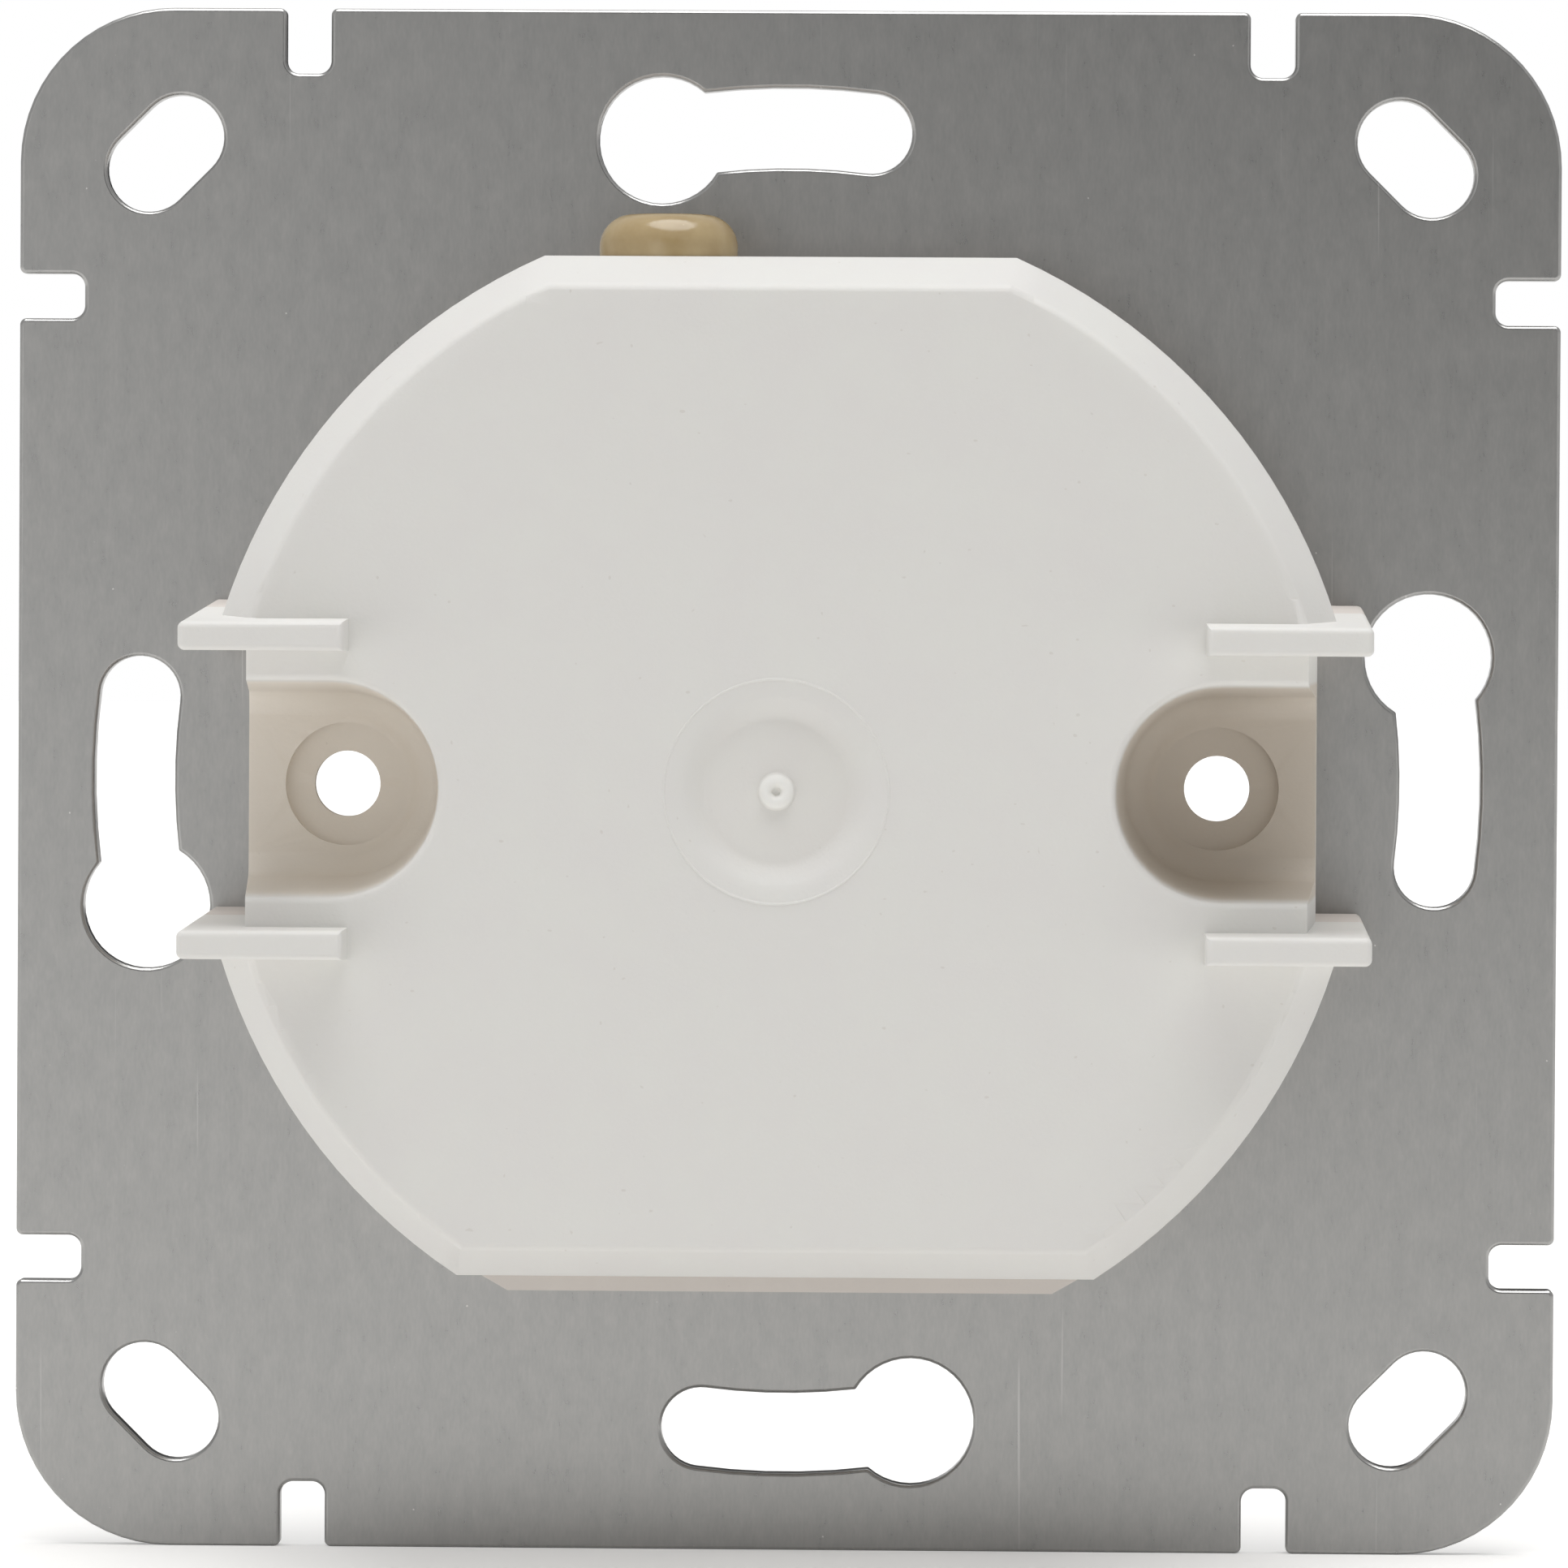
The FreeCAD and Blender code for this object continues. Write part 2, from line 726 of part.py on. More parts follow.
def housing_base():
    outer = housing_form([
        (0, seam_radius + base_draft, seam_top + base_draft, base_bottom + base_draft, 0),
        (seam_y, seam_radius, seam_top, base_bottom, 0),
    ])
    outer = outer.cut(side_flats(side_flat_seam, side_flat_seam, 0, seam_y))
    outer = joined([outer] + fins(0, seam_y))
    inside = housing_form([
        (base_front_wall, seam_radius - base_wall, seam_top - base_wall, base_bottom - base_wall, 0),
        (seam_y, seam_radius - base_wall, seam_top - base_wall, base_bottom - base_wall, 0),
    ])
    kept = []
    for side in (-1, 1):
        inner = side * (side_flat_seam - base_wall)
        far = side * seam_radius
        kept.append(block(min(inner, far), max(inner, far), 0, seam_y, -fin_outer_foot, fin_outer_foot))
        kept.append(cylinder(claw_tube_radius, side * claw_x, 0, 0, seam_y))
    for x, z in screw_places():
        kept.append(cylinder(base_boss_radius, x, z, 0, seam_y))
    wall_z = -base_bottom
    for i in range(terminal_count + 1):
        x = terminal_places[0] + (i - 0.5) * terminal_spacing
        half = partition_thickness / 2
        kept.append(block(x - half, x + half, 0, seam_y, wall_z, partition_end_z))
    base = outer.cut(inside.cut(kept))
    posts = [cylinder(board_post_radius, x, z, base_front_wall, board_front_y) for x, z in board_posts]
    base = joined([base] + posts)
    window = pot_window_clearance
    holes = [
        cylinder(pot_radius + window, 0, 0, 0, base_front_wall),
        block(-pot_tongue_half_width - window, pot_tongue_half_width + window, 0, base_front_wall,
              -pot_tongue_reach - window, 0),
        block(triac_left - triac_window_margin, triac_left + triac_length + triac_window_margin,
              0, base_front_wall,
              triac_low - triac_window_margin, triac_low + triac_width + triac_window_margin),
    ]
    for side in (-1, 1):
        holes.append(cylinder(claw_passage_radius, side * claw_x, 0, 0, seam_y))
    for x, z in screw_places():
        holes.append(cylinder(housing_screw_radius + screw_hole_clearance, x, z, 0, seam_y))
    for x in terminal_places:
        head_hole = terminal_head_radius + terminal_head_clearance
        holes.append(cylinder(head_hole, x, terminal_z, 0, base_front_wall))
        holes.append(upright(wire_hole_radius, x, wire_y, wall_z - overrun, wall_z + base_wall + overrun))
    return base.cut(holes)


def cover_outer():
    face_radius = housing_radius - bevel_width
    return housing_form([
        (seam_y, seam_radius, seam_top, cover_bottom + cover_draft, 0),
        (bevel_y, housing_radius, housing_top, cover_bottom, bevel_edge_radius),
        (cover_rear_y, face_radius, housing_top - bevel_width, cover_bottom - bevel_width, rear_edge_radius),
    ])


def chimney():
    # the tube that guides the fuse carrier, hung from the top wall
    return upright(chimney_radius + chimney_wall, fuse_x, fuse_y, chimney_low_z, housing_top - cover_wall / 2)


def chimney_bores():
    ledge_z = chimney_low_z + chimney_ledge
    passage = upright(fuse_cap_radius + clip_leaf_gap, fuse_x, fuse_y, chimney_low_z - overrun, ledge_z)
    return [passage, upright(chimney_radius, fuse_x, fuse_y, ledge_z, seam_top + overrun)]


def rear_cover():
    outer = cover_outer().cut(side_flats(side_flat_seam, side_flat_rear, seam_y, cover_rear_y))
    outer = joined([outer] + fins(seam_y, fin_tip_y))
    pocket = pocket_tool()
    outer = outer.cut([pocket, mirrored_x(pocket)])
    inner = housing_radius - cover_wall
    top = housing_top - cover_wall
    bottom = cover_bottom - cover_wall
    narrowing = bevel_width * (cover_rear_y - cavity_rear_y) / bevel_depth
    inside = housing_form([
        (seam_y, inner + cover_draft, top + cover_draft, bottom + cover_draft, 0),
        (bevel_y - cavity_bevel_lead, inner, top, bottom, 0),
        (cavity_rear_y, inner - narrowing, top - narrowing, bottom - narrowing, 0),
    ])
    boss = pocket_boss()
    kept = [boss, mirrored_x(boss), chimney()]
    for x, z in screw_places():
        kept.append(cylinder(cover_boss_radius, x, z, seam_y, cover_rear_y))
    cover = outer.cut(inside.cut(kept))
    holes = chimney_bores()
    for side in (-1, 1):
        holes.append(cylinder(claw_hole_radius, side * claw_x, 0, seam_y, pocket_floor_y))
        holes.append(cylinder(recess_radius, side * claw_x, 0,
                              pocket_floor_y - recess_depth, pocket_floor_y + recess_depth))
    for x, z in screw_places():
        holes.append(cylinder(housing_screw_radius + thread_clearance, x, z,
                              seam_y, housing_screw_end_y + screw_end_gap))
    floor_y = cover_rear_y - dimple_depth
    dimple = [(0, floor_y), (dimple_floor_radius, floor_y),
              (dimple_rim_radius, cover_rear_y), (0, cover_rear_y)]
    holes.append(turned_profile(dimple))
    cover = cover.cut(holes)
    gate = cylinder(gate_radius, 0, 0, floor_y - gate_height, floor_y + gate_height)
    pit = cylinder(gate_pit_radius, 0, 0, floor_y, floor_y + gate_height)
    return joined([cover, gate]).cut(pit)


def housing_screws():
    screws = []
    head_front = -plate_thickness - housing_screw_head_height
    for x, z in screw_places():
        head = cylinder(housing_screw_head_radius, x, z, head_front, -plate_thickness)
        head = head.makeFillet(housing_screw_head_rounding, edges_at_y(head, head_front))
        shank = cylinder(housing_screw_radius, x, z, -plate_thickness, housing_screw_end_y)
        slot = block(x - housing_screw_head_radius, x + housing_screw_head_radius,
                     head_front, head_front + driver_slot_depth,
                     z - driver_slot_width / 2, z + driver_slot_width / 2)
        screws.append(joined([head, shank]).cut(slot))
    return Part.makeCompound(screws)


def threaded_bushing():
    bore = shaft_radius + shaft_running_clearance
    front = -bushing_length
    profile = [
        (bore, front),
        (bushing_thread_radius - bushing_chamfer, front),
        (bushing_thread_radius, front + bushing_chamfer),
        (bushing_thread_radius, 0),
        (bushing_flange_radius, 0),
        (bushing_flange_radius, bushing_flange_thickness),
        (bushing_tail_radius, bushing_flange_thickness),
        (bushing_tail_radius, bushing_tail_end),
        (bore, bushing_tail_end),
    ]
    return turned_profile(profile)


def lock_washer():
    rear = -plate_thickness
    front = rear - washer_thickness
    washer = cylinder(washer_radius, 0, 0, front, rear)
    cuts = [cylinder(bushing_thread_radius + bushing_hole_clearance, 0, 0, front, rear)]
    for i in range(washer_teeth):
        notch = block(washer_radius - washer_notch_depth, washer_radius + overrun, front, rear,
                      -washer_notch_width / 2, washer_notch_width / 2)
        cuts.append(turned(notch, 360 / washer_teeth * (i + 0.5)))
    return washer.cut(cuts)


def bushing_nut():
    rear = -plate_thickness - washer_thickness
    front = rear - nut_thickness
    nut = hexagon(nut_across_flats, 0, 0, front, rear, nut_chamfer)
    return nut.cut(cylinder(bushing_thread_radius + thread_clearance, 0, 0, front, rear))


def dimmer_shaft():
    profile = [
        (0, knob_end_y),
        (knob_radius - knob_chamfer, knob_end_y),
        (knob_radius, knob_end_y + knob_chamfer),
        (knob_radius, shaft_shoulder_y),
        (shaft_radius, shaft_shoulder_y),
        (shaft_radius, clip_rear_y - clip_thickness),
        (shaft_radius - clip_groove_depth, clip_rear_y - clip_thickness),
        (shaft_radius - clip_groove_depth, clip_rear_y),
        (shaft_radius, clip_rear_y),
        (shaft_radius, collar_front_y),
        (collar_radius, collar_front_y),
        (collar_radius, shaft_rear_y),
        (0, shaft_rear_y),
    ]
    rotor_flat = block(-shaft_radius, shaft_radius, rotor_flat_start_y, collar_front_y,
                       rotor_flat_height, shaft_radius)
    return turned_profile(profile).cut(rotor_flat)


def shaft_clip():
    inner = shaft_radius - clip_groove_depth
    front = clip_rear_y - clip_thickness
    ring = cylinder(clip_radius, 0, 0, front, clip_rear_y)
    opening = block(-clip_opening / 2, clip_opening / 2, front, clip_rear_y, -clip_radius, 0)
    return ring.cut([cylinder(inner, 0, 0, front, clip_rear_y), opening])


def resistor_disc():
    disc = cylinder(pot_radius, 0, 0, track_front_y, track_rear_y)
    tongue = block(-pot_tongue_half_width, pot_tongue_half_width, track_front_y, track_rear_y,
                   -pot_tongue_reach, 0)
    hole = cylinder(bushing_tail_radius + thread_clearance, 0, 0, track_front_y, track_rear_y)
    return joined([disc, tongue]).cut(hole)


def pot_terminals():
    pins = []
    low = -pot_tongue_reach + pot_pin_inset
    for i in (-1, 0, 1):
        x = i * pot_pin_spacing
        pins.append(block(x - pot_pin_width / 2, x + pot_pin_width / 2, track_rear_y, board_front_y,
                          low, low + pot_pin_depth))
    return Part.makeCompound(pins)


def pot_housing():
    cup = cylinder(pot_radius, 0, 0, track_rear_y, pot_rear_y)
    room = cylinder(pot_radius - pot_wall, 0, 0, track_rear_y, pot_rear_y - pot_wall)
    stop = sector(stop_inner_radius, pot_radius, -90, stop_half_angle, track_rear_y, pot_rear_y)
    mouth = cylinder(collar_hole_radius, 0, 0, pot_rear_y - pot_wall, pot_rear_y)
    return cup.cut([room.cut(stop), mouth])


def pot_rotor():
    disc_rear = rotor_disc_y + rotor_disc_thickness
    hub = cylinder(rotor_hub_radius, 0, 0, rotor_front_y, rotor_rear_y)
    disc = cylinder(rotor_disc_radius, 0, 0, rotor_disc_y, disc_rear)
    lug = sector(rotor_hub_radius, rotor_lug_radius, 90, rotor_lug_half_angle, rotor_disc_y, disc_rear)
    bore = cylinder(shaft_radius + shaft_running_clearance, 0, 0, rotor_front_y, rotor_rear_y)
    flat = block(-rotor_hub_radius, rotor_hub_radius, rotor_front_y, rotor_rear_y,
                 rotor_flat_height + shaft_running_clearance, rotor_hub_radius)
    return joined([hub, disc, lug]).cut(bore.cut(flat))


def rotor_wiper():
    front = rotor_disc_y - wiper_thickness
    plate = sector(wiper_inner_radius, wiper_outer_radius, 90, wiper_half_angle, front, rotor_disc_y)
    middle = (wiper_inner_radius + wiper_outer_radius) / 2
    pads = []
    for degrees in wiper_pad_angles:
        place = polar(middle, degrees, 0)
        pads.append(cylinder(wiper_pad_radius, place.x, place.z, track_rear_y + contact_gap, front))
    return joined([plate] + pads)


def switch_housing():
    body = block(-switch_half_width, switch_half_width, pot_rear_y, switch_lid_y, -switch_bottom, switch_top)
    room = block(-switch_half_width + switch_wall, switch_half_width - switch_wall,
                 switch_guide_y, switch_lid_y, -switch_bottom + switch_wall, switch_top - switch_wall)
    cuts = [
        room,
        cylinder(collar_hole_radius, 0, 0, pot_rear_y, plunger_guide_y).common(body),
        cylinder(plunger_radius + plunger_clearance, 0, 0, plunger_guide_y, switch_guide_y),
    ]
    for side in (-1, 1):
        half = contact_strip_half_width + contact_slot_clearance
        x = side * contact_x
        cuts.append(block(x - half, x + half, contact_front_y, switch_lid_y,
                          -switch_bottom, -switch_bottom + switch_wall))
    return body.cut(cuts)


def switch_lid():
    return block(-switch_half_width, switch_half_width, switch_lid_y, switch_lid_y + switch_lid_thickness,
                 -switch_bottom, switch_top)


def switch_plunger():
    rod = cylinder(plunger_radius, 0, 0, shaft_rear_y + contact_gap, carrier_front_y)
    carrier = block(-plunger_carrier_half_width, plunger_carrier_half_width, carrier_front_y, carrier_rear_y,
                    -plunger_carrier_bottom, plunger_carrier_top)
    return joined([rod, carrier])


def contact_bridge():
    return block(-bridge_half_width, bridge_half_width, carrier_rear_y, bridge_rear_y,
                 -bridge_bottom, -bridge_top)


def switch_contacts():
    contacts = []
    half = contact_strip_half_width
    leg_z = -switch_bottom - contact_leg_gap
    for side in (-1, 1):
        x = side * contact_x
        middle = -(bridge_top + bridge_bottom) / 2
        pad = cylinder(contact_pad_radius, x, middle, contact_front_y, strip_front_y)
        strip = block(x - half, x + half, strip_front_y, strip_rear_y, leg_z, middle)
        leg = block(x - half, x + half, board_rear_y, strip_rear_y, leg_z - contact_strip_thickness, leg_z)
        contacts.append(joined([pad, strip, leg]))
    return Part.makeCompound(contacts)


def switch_spring():
    start = carrier_rear_y + spring_end_gap + spring_wire_radius
    end = switch_lid_y - spring_end_gap - spring_wire_radius
    path, (place, heading) = coil_path(spring_radius, start, end, spring_turns)
    section = Part.Wire(Part.makeCircle(spring_wire_radius, place, heading))
    return path.makePipeShell([section], True, False)


def circuit_board():
    inner = housing_radius - cover_wall - board_edge_gap
    top = housing_top - cover_wall - board_edge_gap
    bottom = cover_bottom - cover_wall - board_edge_gap
    board = housing_form([(board_front_y, inner, top, bottom, 0), (board_rear_y, inner, top, bottom, 0)])
    gap = board_cutout_gap
    cuts = [block(-switch_half_width - gap, switch_half_width + gap, board_front_y, board_rear_y,
                  -switch_bottom - gap, switch_top + gap)]
    half = pocket_rim_radius + pocket_wall + gap
    for side in (-1, 1):
        near = side * (claw_x - pocket_rim_radius - pocket_wall - gap)
        far = side * seam_radius
        cuts.append(block(min(near, far), max(near, far), board_front_y, board_rear_y, -half, half))
    for x, z in screw_places():
        cuts.append(cylinder(cover_boss_radius + gap, x, z, board_front_y, board_rear_y))
        outward = seam_radius if x > 0 else -seam_radius
        cuts.append(block(min(x, outward), max(x, outward), board_front_y, board_rear_y,
                          z - cover_boss_radius - gap, z + cover_boss_radius + gap))
    return board.cut(cuts)


def triac():
    right = triac_left + triac_length
    body_left = right - triac_body_length
    tab = block(triac_left, right, triac_tab_y, triac_tab_y + triac_tab_thickness,
                triac_low, triac_low + triac_width)
    body = block(body_left, right, triac_tab_y, triac_tab_y + triac_body_thickness,
                 triac_low, triac_low + triac_width)
    hole = cylinder(triac_hole_radius, triac_hole_x, triac_hole_z,
                    triac_tab_y, triac_tab_y + triac_tab_thickness)
    parts = [tab.cut(hole), body]
    middle_y = triac_tab_y + triac_body_thickness / 2
    end = right + triac_lead_length
    half = triac_lead_width / 2
    for i in (-1, 0, 1):
        z = triac_hole_z + i * triac_lead_spacing
        parts.append(block(right, end, middle_y, middle_y + triac_lead_thickness, z - half, z + half))
        parts.append(block(end - triac_lead_thickness, end, middle_y, board_front_y, z - half, z + half))
    return joined(parts)


def triac_pad():
    margin = triac_pad_margin
    pad = block(triac_left - margin, triac_left + triac_length + margin, 0, triac_pad_thickness,
                triac_low - margin, triac_low + triac_width + margin)
    return pad.cut(cylinder(triac_screw_radius + screw_hole_clearance, triac_hole_x, triac_hole_z,
                            0, triac_pad_thickness))


def triac_screw():
    nut_front = triac_tab_y + triac_tab_thickness
    head_front = -plate_thickness - triac_screw_head_height
    head = cylinder(triac_screw_head_radius, triac_hole_x, triac_hole_z, head_front, -plate_thickness)
    head = head.makeFillet(triac_screw_head_rounding, edges_at_y(head, head_front))
    shank = cylinder(triac_screw_radius, triac_hole_x, triac_hole_z, -plate_thickness,
                     nut_front + triac_nut_thickness + triac_screw_tip)
    slot = block(triac_hole_x - driver_slot_width / 2, triac_hole_x + driver_slot_width / 2,
                 head_front, head_front + driver_slot_depth,
                 triac_hole_z - triac_screw_head_radius, triac_hole_z + triac_screw_head_radius)
    return joined([head, shank]).cut(slot)


def triac_nut():
    front = triac_tab_y + triac_tab_thickness
    rear = front + triac_nut_thickness
    nut = hexagon(triac_nut_across_flats, triac_hole_x, triac_hole_z, front, rear, triac_nut_chamfer)
    return nut.cut(cylinder(triac_screw_radius + thread_clearance, triac_hole_x, triac_hole_z, front, rear))


def choke_core():
    y = board_rear_y + choke_winding_radius + choke_lift
    half = choke_core_length / 2
    return upright(choke_core_radius, choke_x, y, choke_z - half, choke_z + half)


def choke_winding():
    y = board_rear_y + choke_winding_radius + choke_lift
    half = choke_winding_length / 2
    tube = upright(choke_winding_radius, choke_x, y, choke_z - half, choke_z + half)
    bore = upright(choke_core_radius + choke_winding_gap, choke_x, y, choke_z - half, choke_z + half)
    return tube.cut(bore)


def suppression_capacitor():
    box = block(-film_box_half_width, film_box_half_width, board_rear_y, board_rear_y + film_box_depth,
                film_box_low, film_box_high)
    return box.makeFillet(film_box_edge_radius, edges_at_y(box, board_rear_y + film_box_depth))


def timing_capacitors():
    boxes = []
    for z in timing_box_z:
        box = block(timing_box_right - timing_box_width, timing_box_right, board_rear_y,
                    board_rear_y + timing_box_depth, z, z + timing_box_thickness)
        rear_edges = edges_at_y(box, board_rear_y + timing_box_depth)
        boxes.append(box.makeFillet(timing_box_edge_radius, rear_edges))
    return Part.makeCompound(boxes)


def axial_part(x, z, radius, length, angle):
    # a small round body with a lead through it, bent down to the board at both ends
    y = board_rear_y + lead_height + radius
    reach = length / 2 + lead_reach
    corners = [(Vector(-reach, board_rear_y, 0), 0), (Vector(-reach, y, 0), lead_bend_radius),
               (Vector(reach, y, 0), lead_bend_radius), (Vector(reach, board_rear_y, 0), 0)]
    circle = Part.Wire(Part.makeCircle(lead_radius, corners[0][0], Vector(0, 1, 0)))
    lead = open_path(corners).makePipeShell([circle], True, True)
    body = Part.makeCylinder(radius, length, Vector(-length / 2, y, 0), Vector(1, 0, 0))
    return moved(turned(joined([body, lead]), angle), x, 0, z)


def diac():
    return axial_part(diac_x, diac_z, diac_radius, diac_length, 90)


def resistors():
    bodies = [axial_part(x, z, resistor_radius, resistor_length, a) for x, z, a in resistor_spots]
    return Part.makeCompound(bodies)


def fuse_carrier():
    low = fuse_top_z - carrier_skirt
    high = fuse_top_z + carrier_dome_height
    outline = rounded_outline([
        (Vector(0, 0, low), 0),
        (Vector(carrier_radius, 0, low), 0),
        (Vector(carrier_radius, 0, high), carrier_dome_rounding),
        (Vector(0, 0, high), 0),
    ])
    cap = Part.Face(outline).revolve(Vector(0, 0, 0), Vector(0, 0, 1), 360)
    socket = upright(fuse_cap_radius + carrier_cap_clearance, fuse_x, fuse_y, low, fuse_top_z + carrier_crown)
    return moved(cap, fuse_x, fuse_y, 0).cut(socket)


def fuse_glass():
    inset = fuse_cap_wall
    low = fuse_low_z + inset
    high = fuse_top_z - inset
    tube = upright(fuse_glass_radius, fuse_x, fuse_y, low, high)
    return tube.cut(upright(fuse_glass_radius - fuse_glass_wall, fuse_x, fuse_y, low, high))


def fuse_caps():
    caps = []
    for low, sign in ((fuse_low_z, 1), (fuse_top_z - fuse_cap_length, -1)):
        cap = upright(fuse_cap_radius, fuse_x, fuse_y, low, low + fuse_cap_length)
        room_low = low + (fuse_cap_wall if sign > 0 else 0)
        room_high = low + fuse_cap_length - (fuse_cap_wall if sign < 0 else 0)
        caps.append(cap.cut(upright(fuse_glass_radius, fuse_x, fuse_y, room_low, room_high)))
    return Part.makeCompound(caps)


def fuse_wire():
    return upright(fuse_wire_radius, fuse_x, fuse_y, fuse_low_z + fuse_cap_wall, fuse_top_z - fuse_cap_wall)


def fuse_clips():
    inner = fuse_cap_radius + clip_leaf_gap
    outer = inner + clip_leaf_thickness
    top = board_rear_y + clip_leaf_height
    clips = []
    upper_z = chimney_low_z - contact_gap - upper_clip_length
    for z, length in ((fuse_low_z + clip_leaf_thickness, lower_clip_length), (upper_z, upper_clip_length)):
        foot = block(fuse_x - outer, fuse_x + outer, board_rear_y, board_rear_y + clip_leaf_thickness,
                     z, z + length)
        leaves = [block(fuse_x - outer, fuse_x - inner, board_rear_y, top, z, z + length),
                  block(fuse_x + inner, fuse_x + outer, board_rear_y, top, z, z + length)]
        clips.append(joined([foot] + leaves))
    return Part.makeCompound(clips)


def terminal_cage(x):
    low = terminal_low_z
    high = terminal_z + cage_length / 2
    cage = block(x - cage_half_width, x + cage_half_width, cage_front_y, cage_rear_y, low, high)
    inner = cage_half_width - cage_wall
    room = block(x - inner, x + inner, cage_inner_front, cage_inner_rear, low, high)
    thread = cylinder(terminal_screw_radius + terminal_thread_clearance, x, terminal_z,
                      cage_front_y, cage_inner_front)
    return cage.cut([room, thread])


def terminal_screw(x):
    head = cylinder(terminal_head_radius, x, terminal_z, terminal_head_front, terminal_head_rear)
    shank = cylinder(terminal_screw_radius, x, terminal_z, terminal_head_rear, tab_front_y - screw_tip_gap)
    slot = block(x - terminal_head_radius, x + terminal_head_radius,
                 terminal_head_front, terminal_head_front + driver_slot_depth,
                 terminal_z - driver_slot_width / 2, terminal_z + driver_slot_width / 2)
    return joined([head, shank]).cut(slot)


def terminal_tabs():
    tabs = []
    high = terminal_z + cage_length / 2 + tab_inner_end
    for x in terminal_places:
        bar = block(x - tab_half_width, x + tab_half_width, tab_front_y, tab_rear_y, terminal_low_z, high)
        leg = block(x - tab_half_width / 2, x + tab_half_width / 2, tab_front_y, board_front_y,
                    high - tab_thickness, high)
        tabs.append(joined([bar, leg]))
    return Part.makeCompound(tabs)


def all_parts():
    parts = {
        "support_plate": support_plate(),
        "housing_base": housing_base(),
        "rear_cover": rear_cover(),
        "housing_screws": housing_screws(),
        "threaded_bushing": threaded_bushing(),
        "lock_washer": lock_washer(),
        "bushing_nut": bushing_nut(),
        "resistor_disc": resistor_disc(),
        "pot_terminals": pot_terminals(),
        "pot_housing": pot_housing(),
        "pot_rotor": pot_rotor(),
        "rotor_wiper": rotor_wiper(),
        "dimmer_shaft": dimmer_shaft(),
        "shaft_clip": shaft_clip(),
        "switch_housing": switch_housing(),
        "switch_lid": switch_lid(),
        "switch_plunger": switch_plunger(),
        "contact_bridge": contact_bridge(),
        "switch_contacts": switch_contacts(),
        "switch_spring": switch_spring(),
        "circuit_board": circuit_board(),
        "triac": triac(),
        "triac_pad": triac_pad(),
        "triac_screw": triac_screw(),
        "triac_nut": triac_nut(),
        "choke_core": choke_core(),
        "choke_winding": choke_winding(),
        "suppression_capacitor": suppression_capacitor(),
        "timing_capacitors": timing_capacitors(),
        "diac": diac(),
        "resistors": resistors(),
        "fuse_carrier": fuse_carrier(),
        "fuse_glass": fuse_glass(),
        "fuse_caps": fuse_caps(),
        "fuse_wire": fuse_wire(),
        "fuse_clips": fuse_clips(),
        "terminal_tabs": terminal_tabs(),
    }
    for name, x in zip(terminal_names, terminal_places):
        parts["terminal_cage_" + name] = terminal_cage(x)
        parts["terminal_screw_" + name] = terminal_screw(x)
    return parts


def main():
    os.makedirs("parts", exist_ok=True)
    for name, shape in all_parts().items():
        shape.exportStep("parts/" + name + ".step")
        print(name, "solids", len(shape.Solids), "valid", shape.isValid(), "volume", round(shape.Volume, 2))


main()
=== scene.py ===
import json
import math

import bpy
from mathutils import Matrix, Quaternion, Vector


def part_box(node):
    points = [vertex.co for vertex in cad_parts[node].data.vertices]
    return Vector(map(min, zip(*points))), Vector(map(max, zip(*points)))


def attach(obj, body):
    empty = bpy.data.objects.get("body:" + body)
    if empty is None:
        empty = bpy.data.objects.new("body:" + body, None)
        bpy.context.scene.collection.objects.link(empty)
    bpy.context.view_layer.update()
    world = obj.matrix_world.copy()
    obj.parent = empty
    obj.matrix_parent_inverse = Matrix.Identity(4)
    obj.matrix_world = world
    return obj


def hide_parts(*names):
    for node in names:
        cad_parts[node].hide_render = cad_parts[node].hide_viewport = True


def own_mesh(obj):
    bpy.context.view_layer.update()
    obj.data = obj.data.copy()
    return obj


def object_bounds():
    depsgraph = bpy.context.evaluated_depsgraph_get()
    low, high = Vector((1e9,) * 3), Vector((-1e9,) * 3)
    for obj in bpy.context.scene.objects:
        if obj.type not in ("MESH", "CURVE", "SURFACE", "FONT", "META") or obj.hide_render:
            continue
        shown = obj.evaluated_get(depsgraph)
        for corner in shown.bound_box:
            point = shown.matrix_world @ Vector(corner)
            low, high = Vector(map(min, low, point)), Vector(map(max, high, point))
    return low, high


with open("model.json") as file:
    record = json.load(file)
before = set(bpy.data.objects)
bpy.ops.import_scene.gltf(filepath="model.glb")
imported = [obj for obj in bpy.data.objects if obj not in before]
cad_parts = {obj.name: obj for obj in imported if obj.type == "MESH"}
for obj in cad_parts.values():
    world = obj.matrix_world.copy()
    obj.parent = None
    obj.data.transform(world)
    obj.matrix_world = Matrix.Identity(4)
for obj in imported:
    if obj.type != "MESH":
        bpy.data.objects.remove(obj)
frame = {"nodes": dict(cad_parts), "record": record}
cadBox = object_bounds()
mm = 0.001

record = frame["record"]
bodyOfNode = {node: body for body, nodes in record["behaviour"]["bodies"].items() for node in nodes}
slotOfNode = {part["node"]: part["material_slot"] for part in record["subparts"]}
print("frame loaded:", len(frame["nodes"]), "nodes")


# Small helpers for meshes, with lengths in millimetres and angles in degrees

meshValues = {
    "merge": 0.002,   # corners that are nearer to each other are one
    "flat": 0.6,      # triangles that differ by less are one flat face
    "sharp": 40,      # sharper edges are rounded
    "segments": 2,    # steps across a rounded edge
    "crease": 32,     # sharper edges stay hard in the shading
}


def activate(piece):
    bpy.ops.object.select_all(action="DESELECT")
    piece.select_set(True)
    bpy.context.view_layer.objects.active = piece


def applyModifier(piece, kind, **settings):
    activate(piece)
    modifier = piece.modifiers.new(kind.title(), kind)
    for name, value in settings.items():
        setattr(modifier, name, value)
    bpy.ops.object.modifier_apply(modifier=modifier.name)


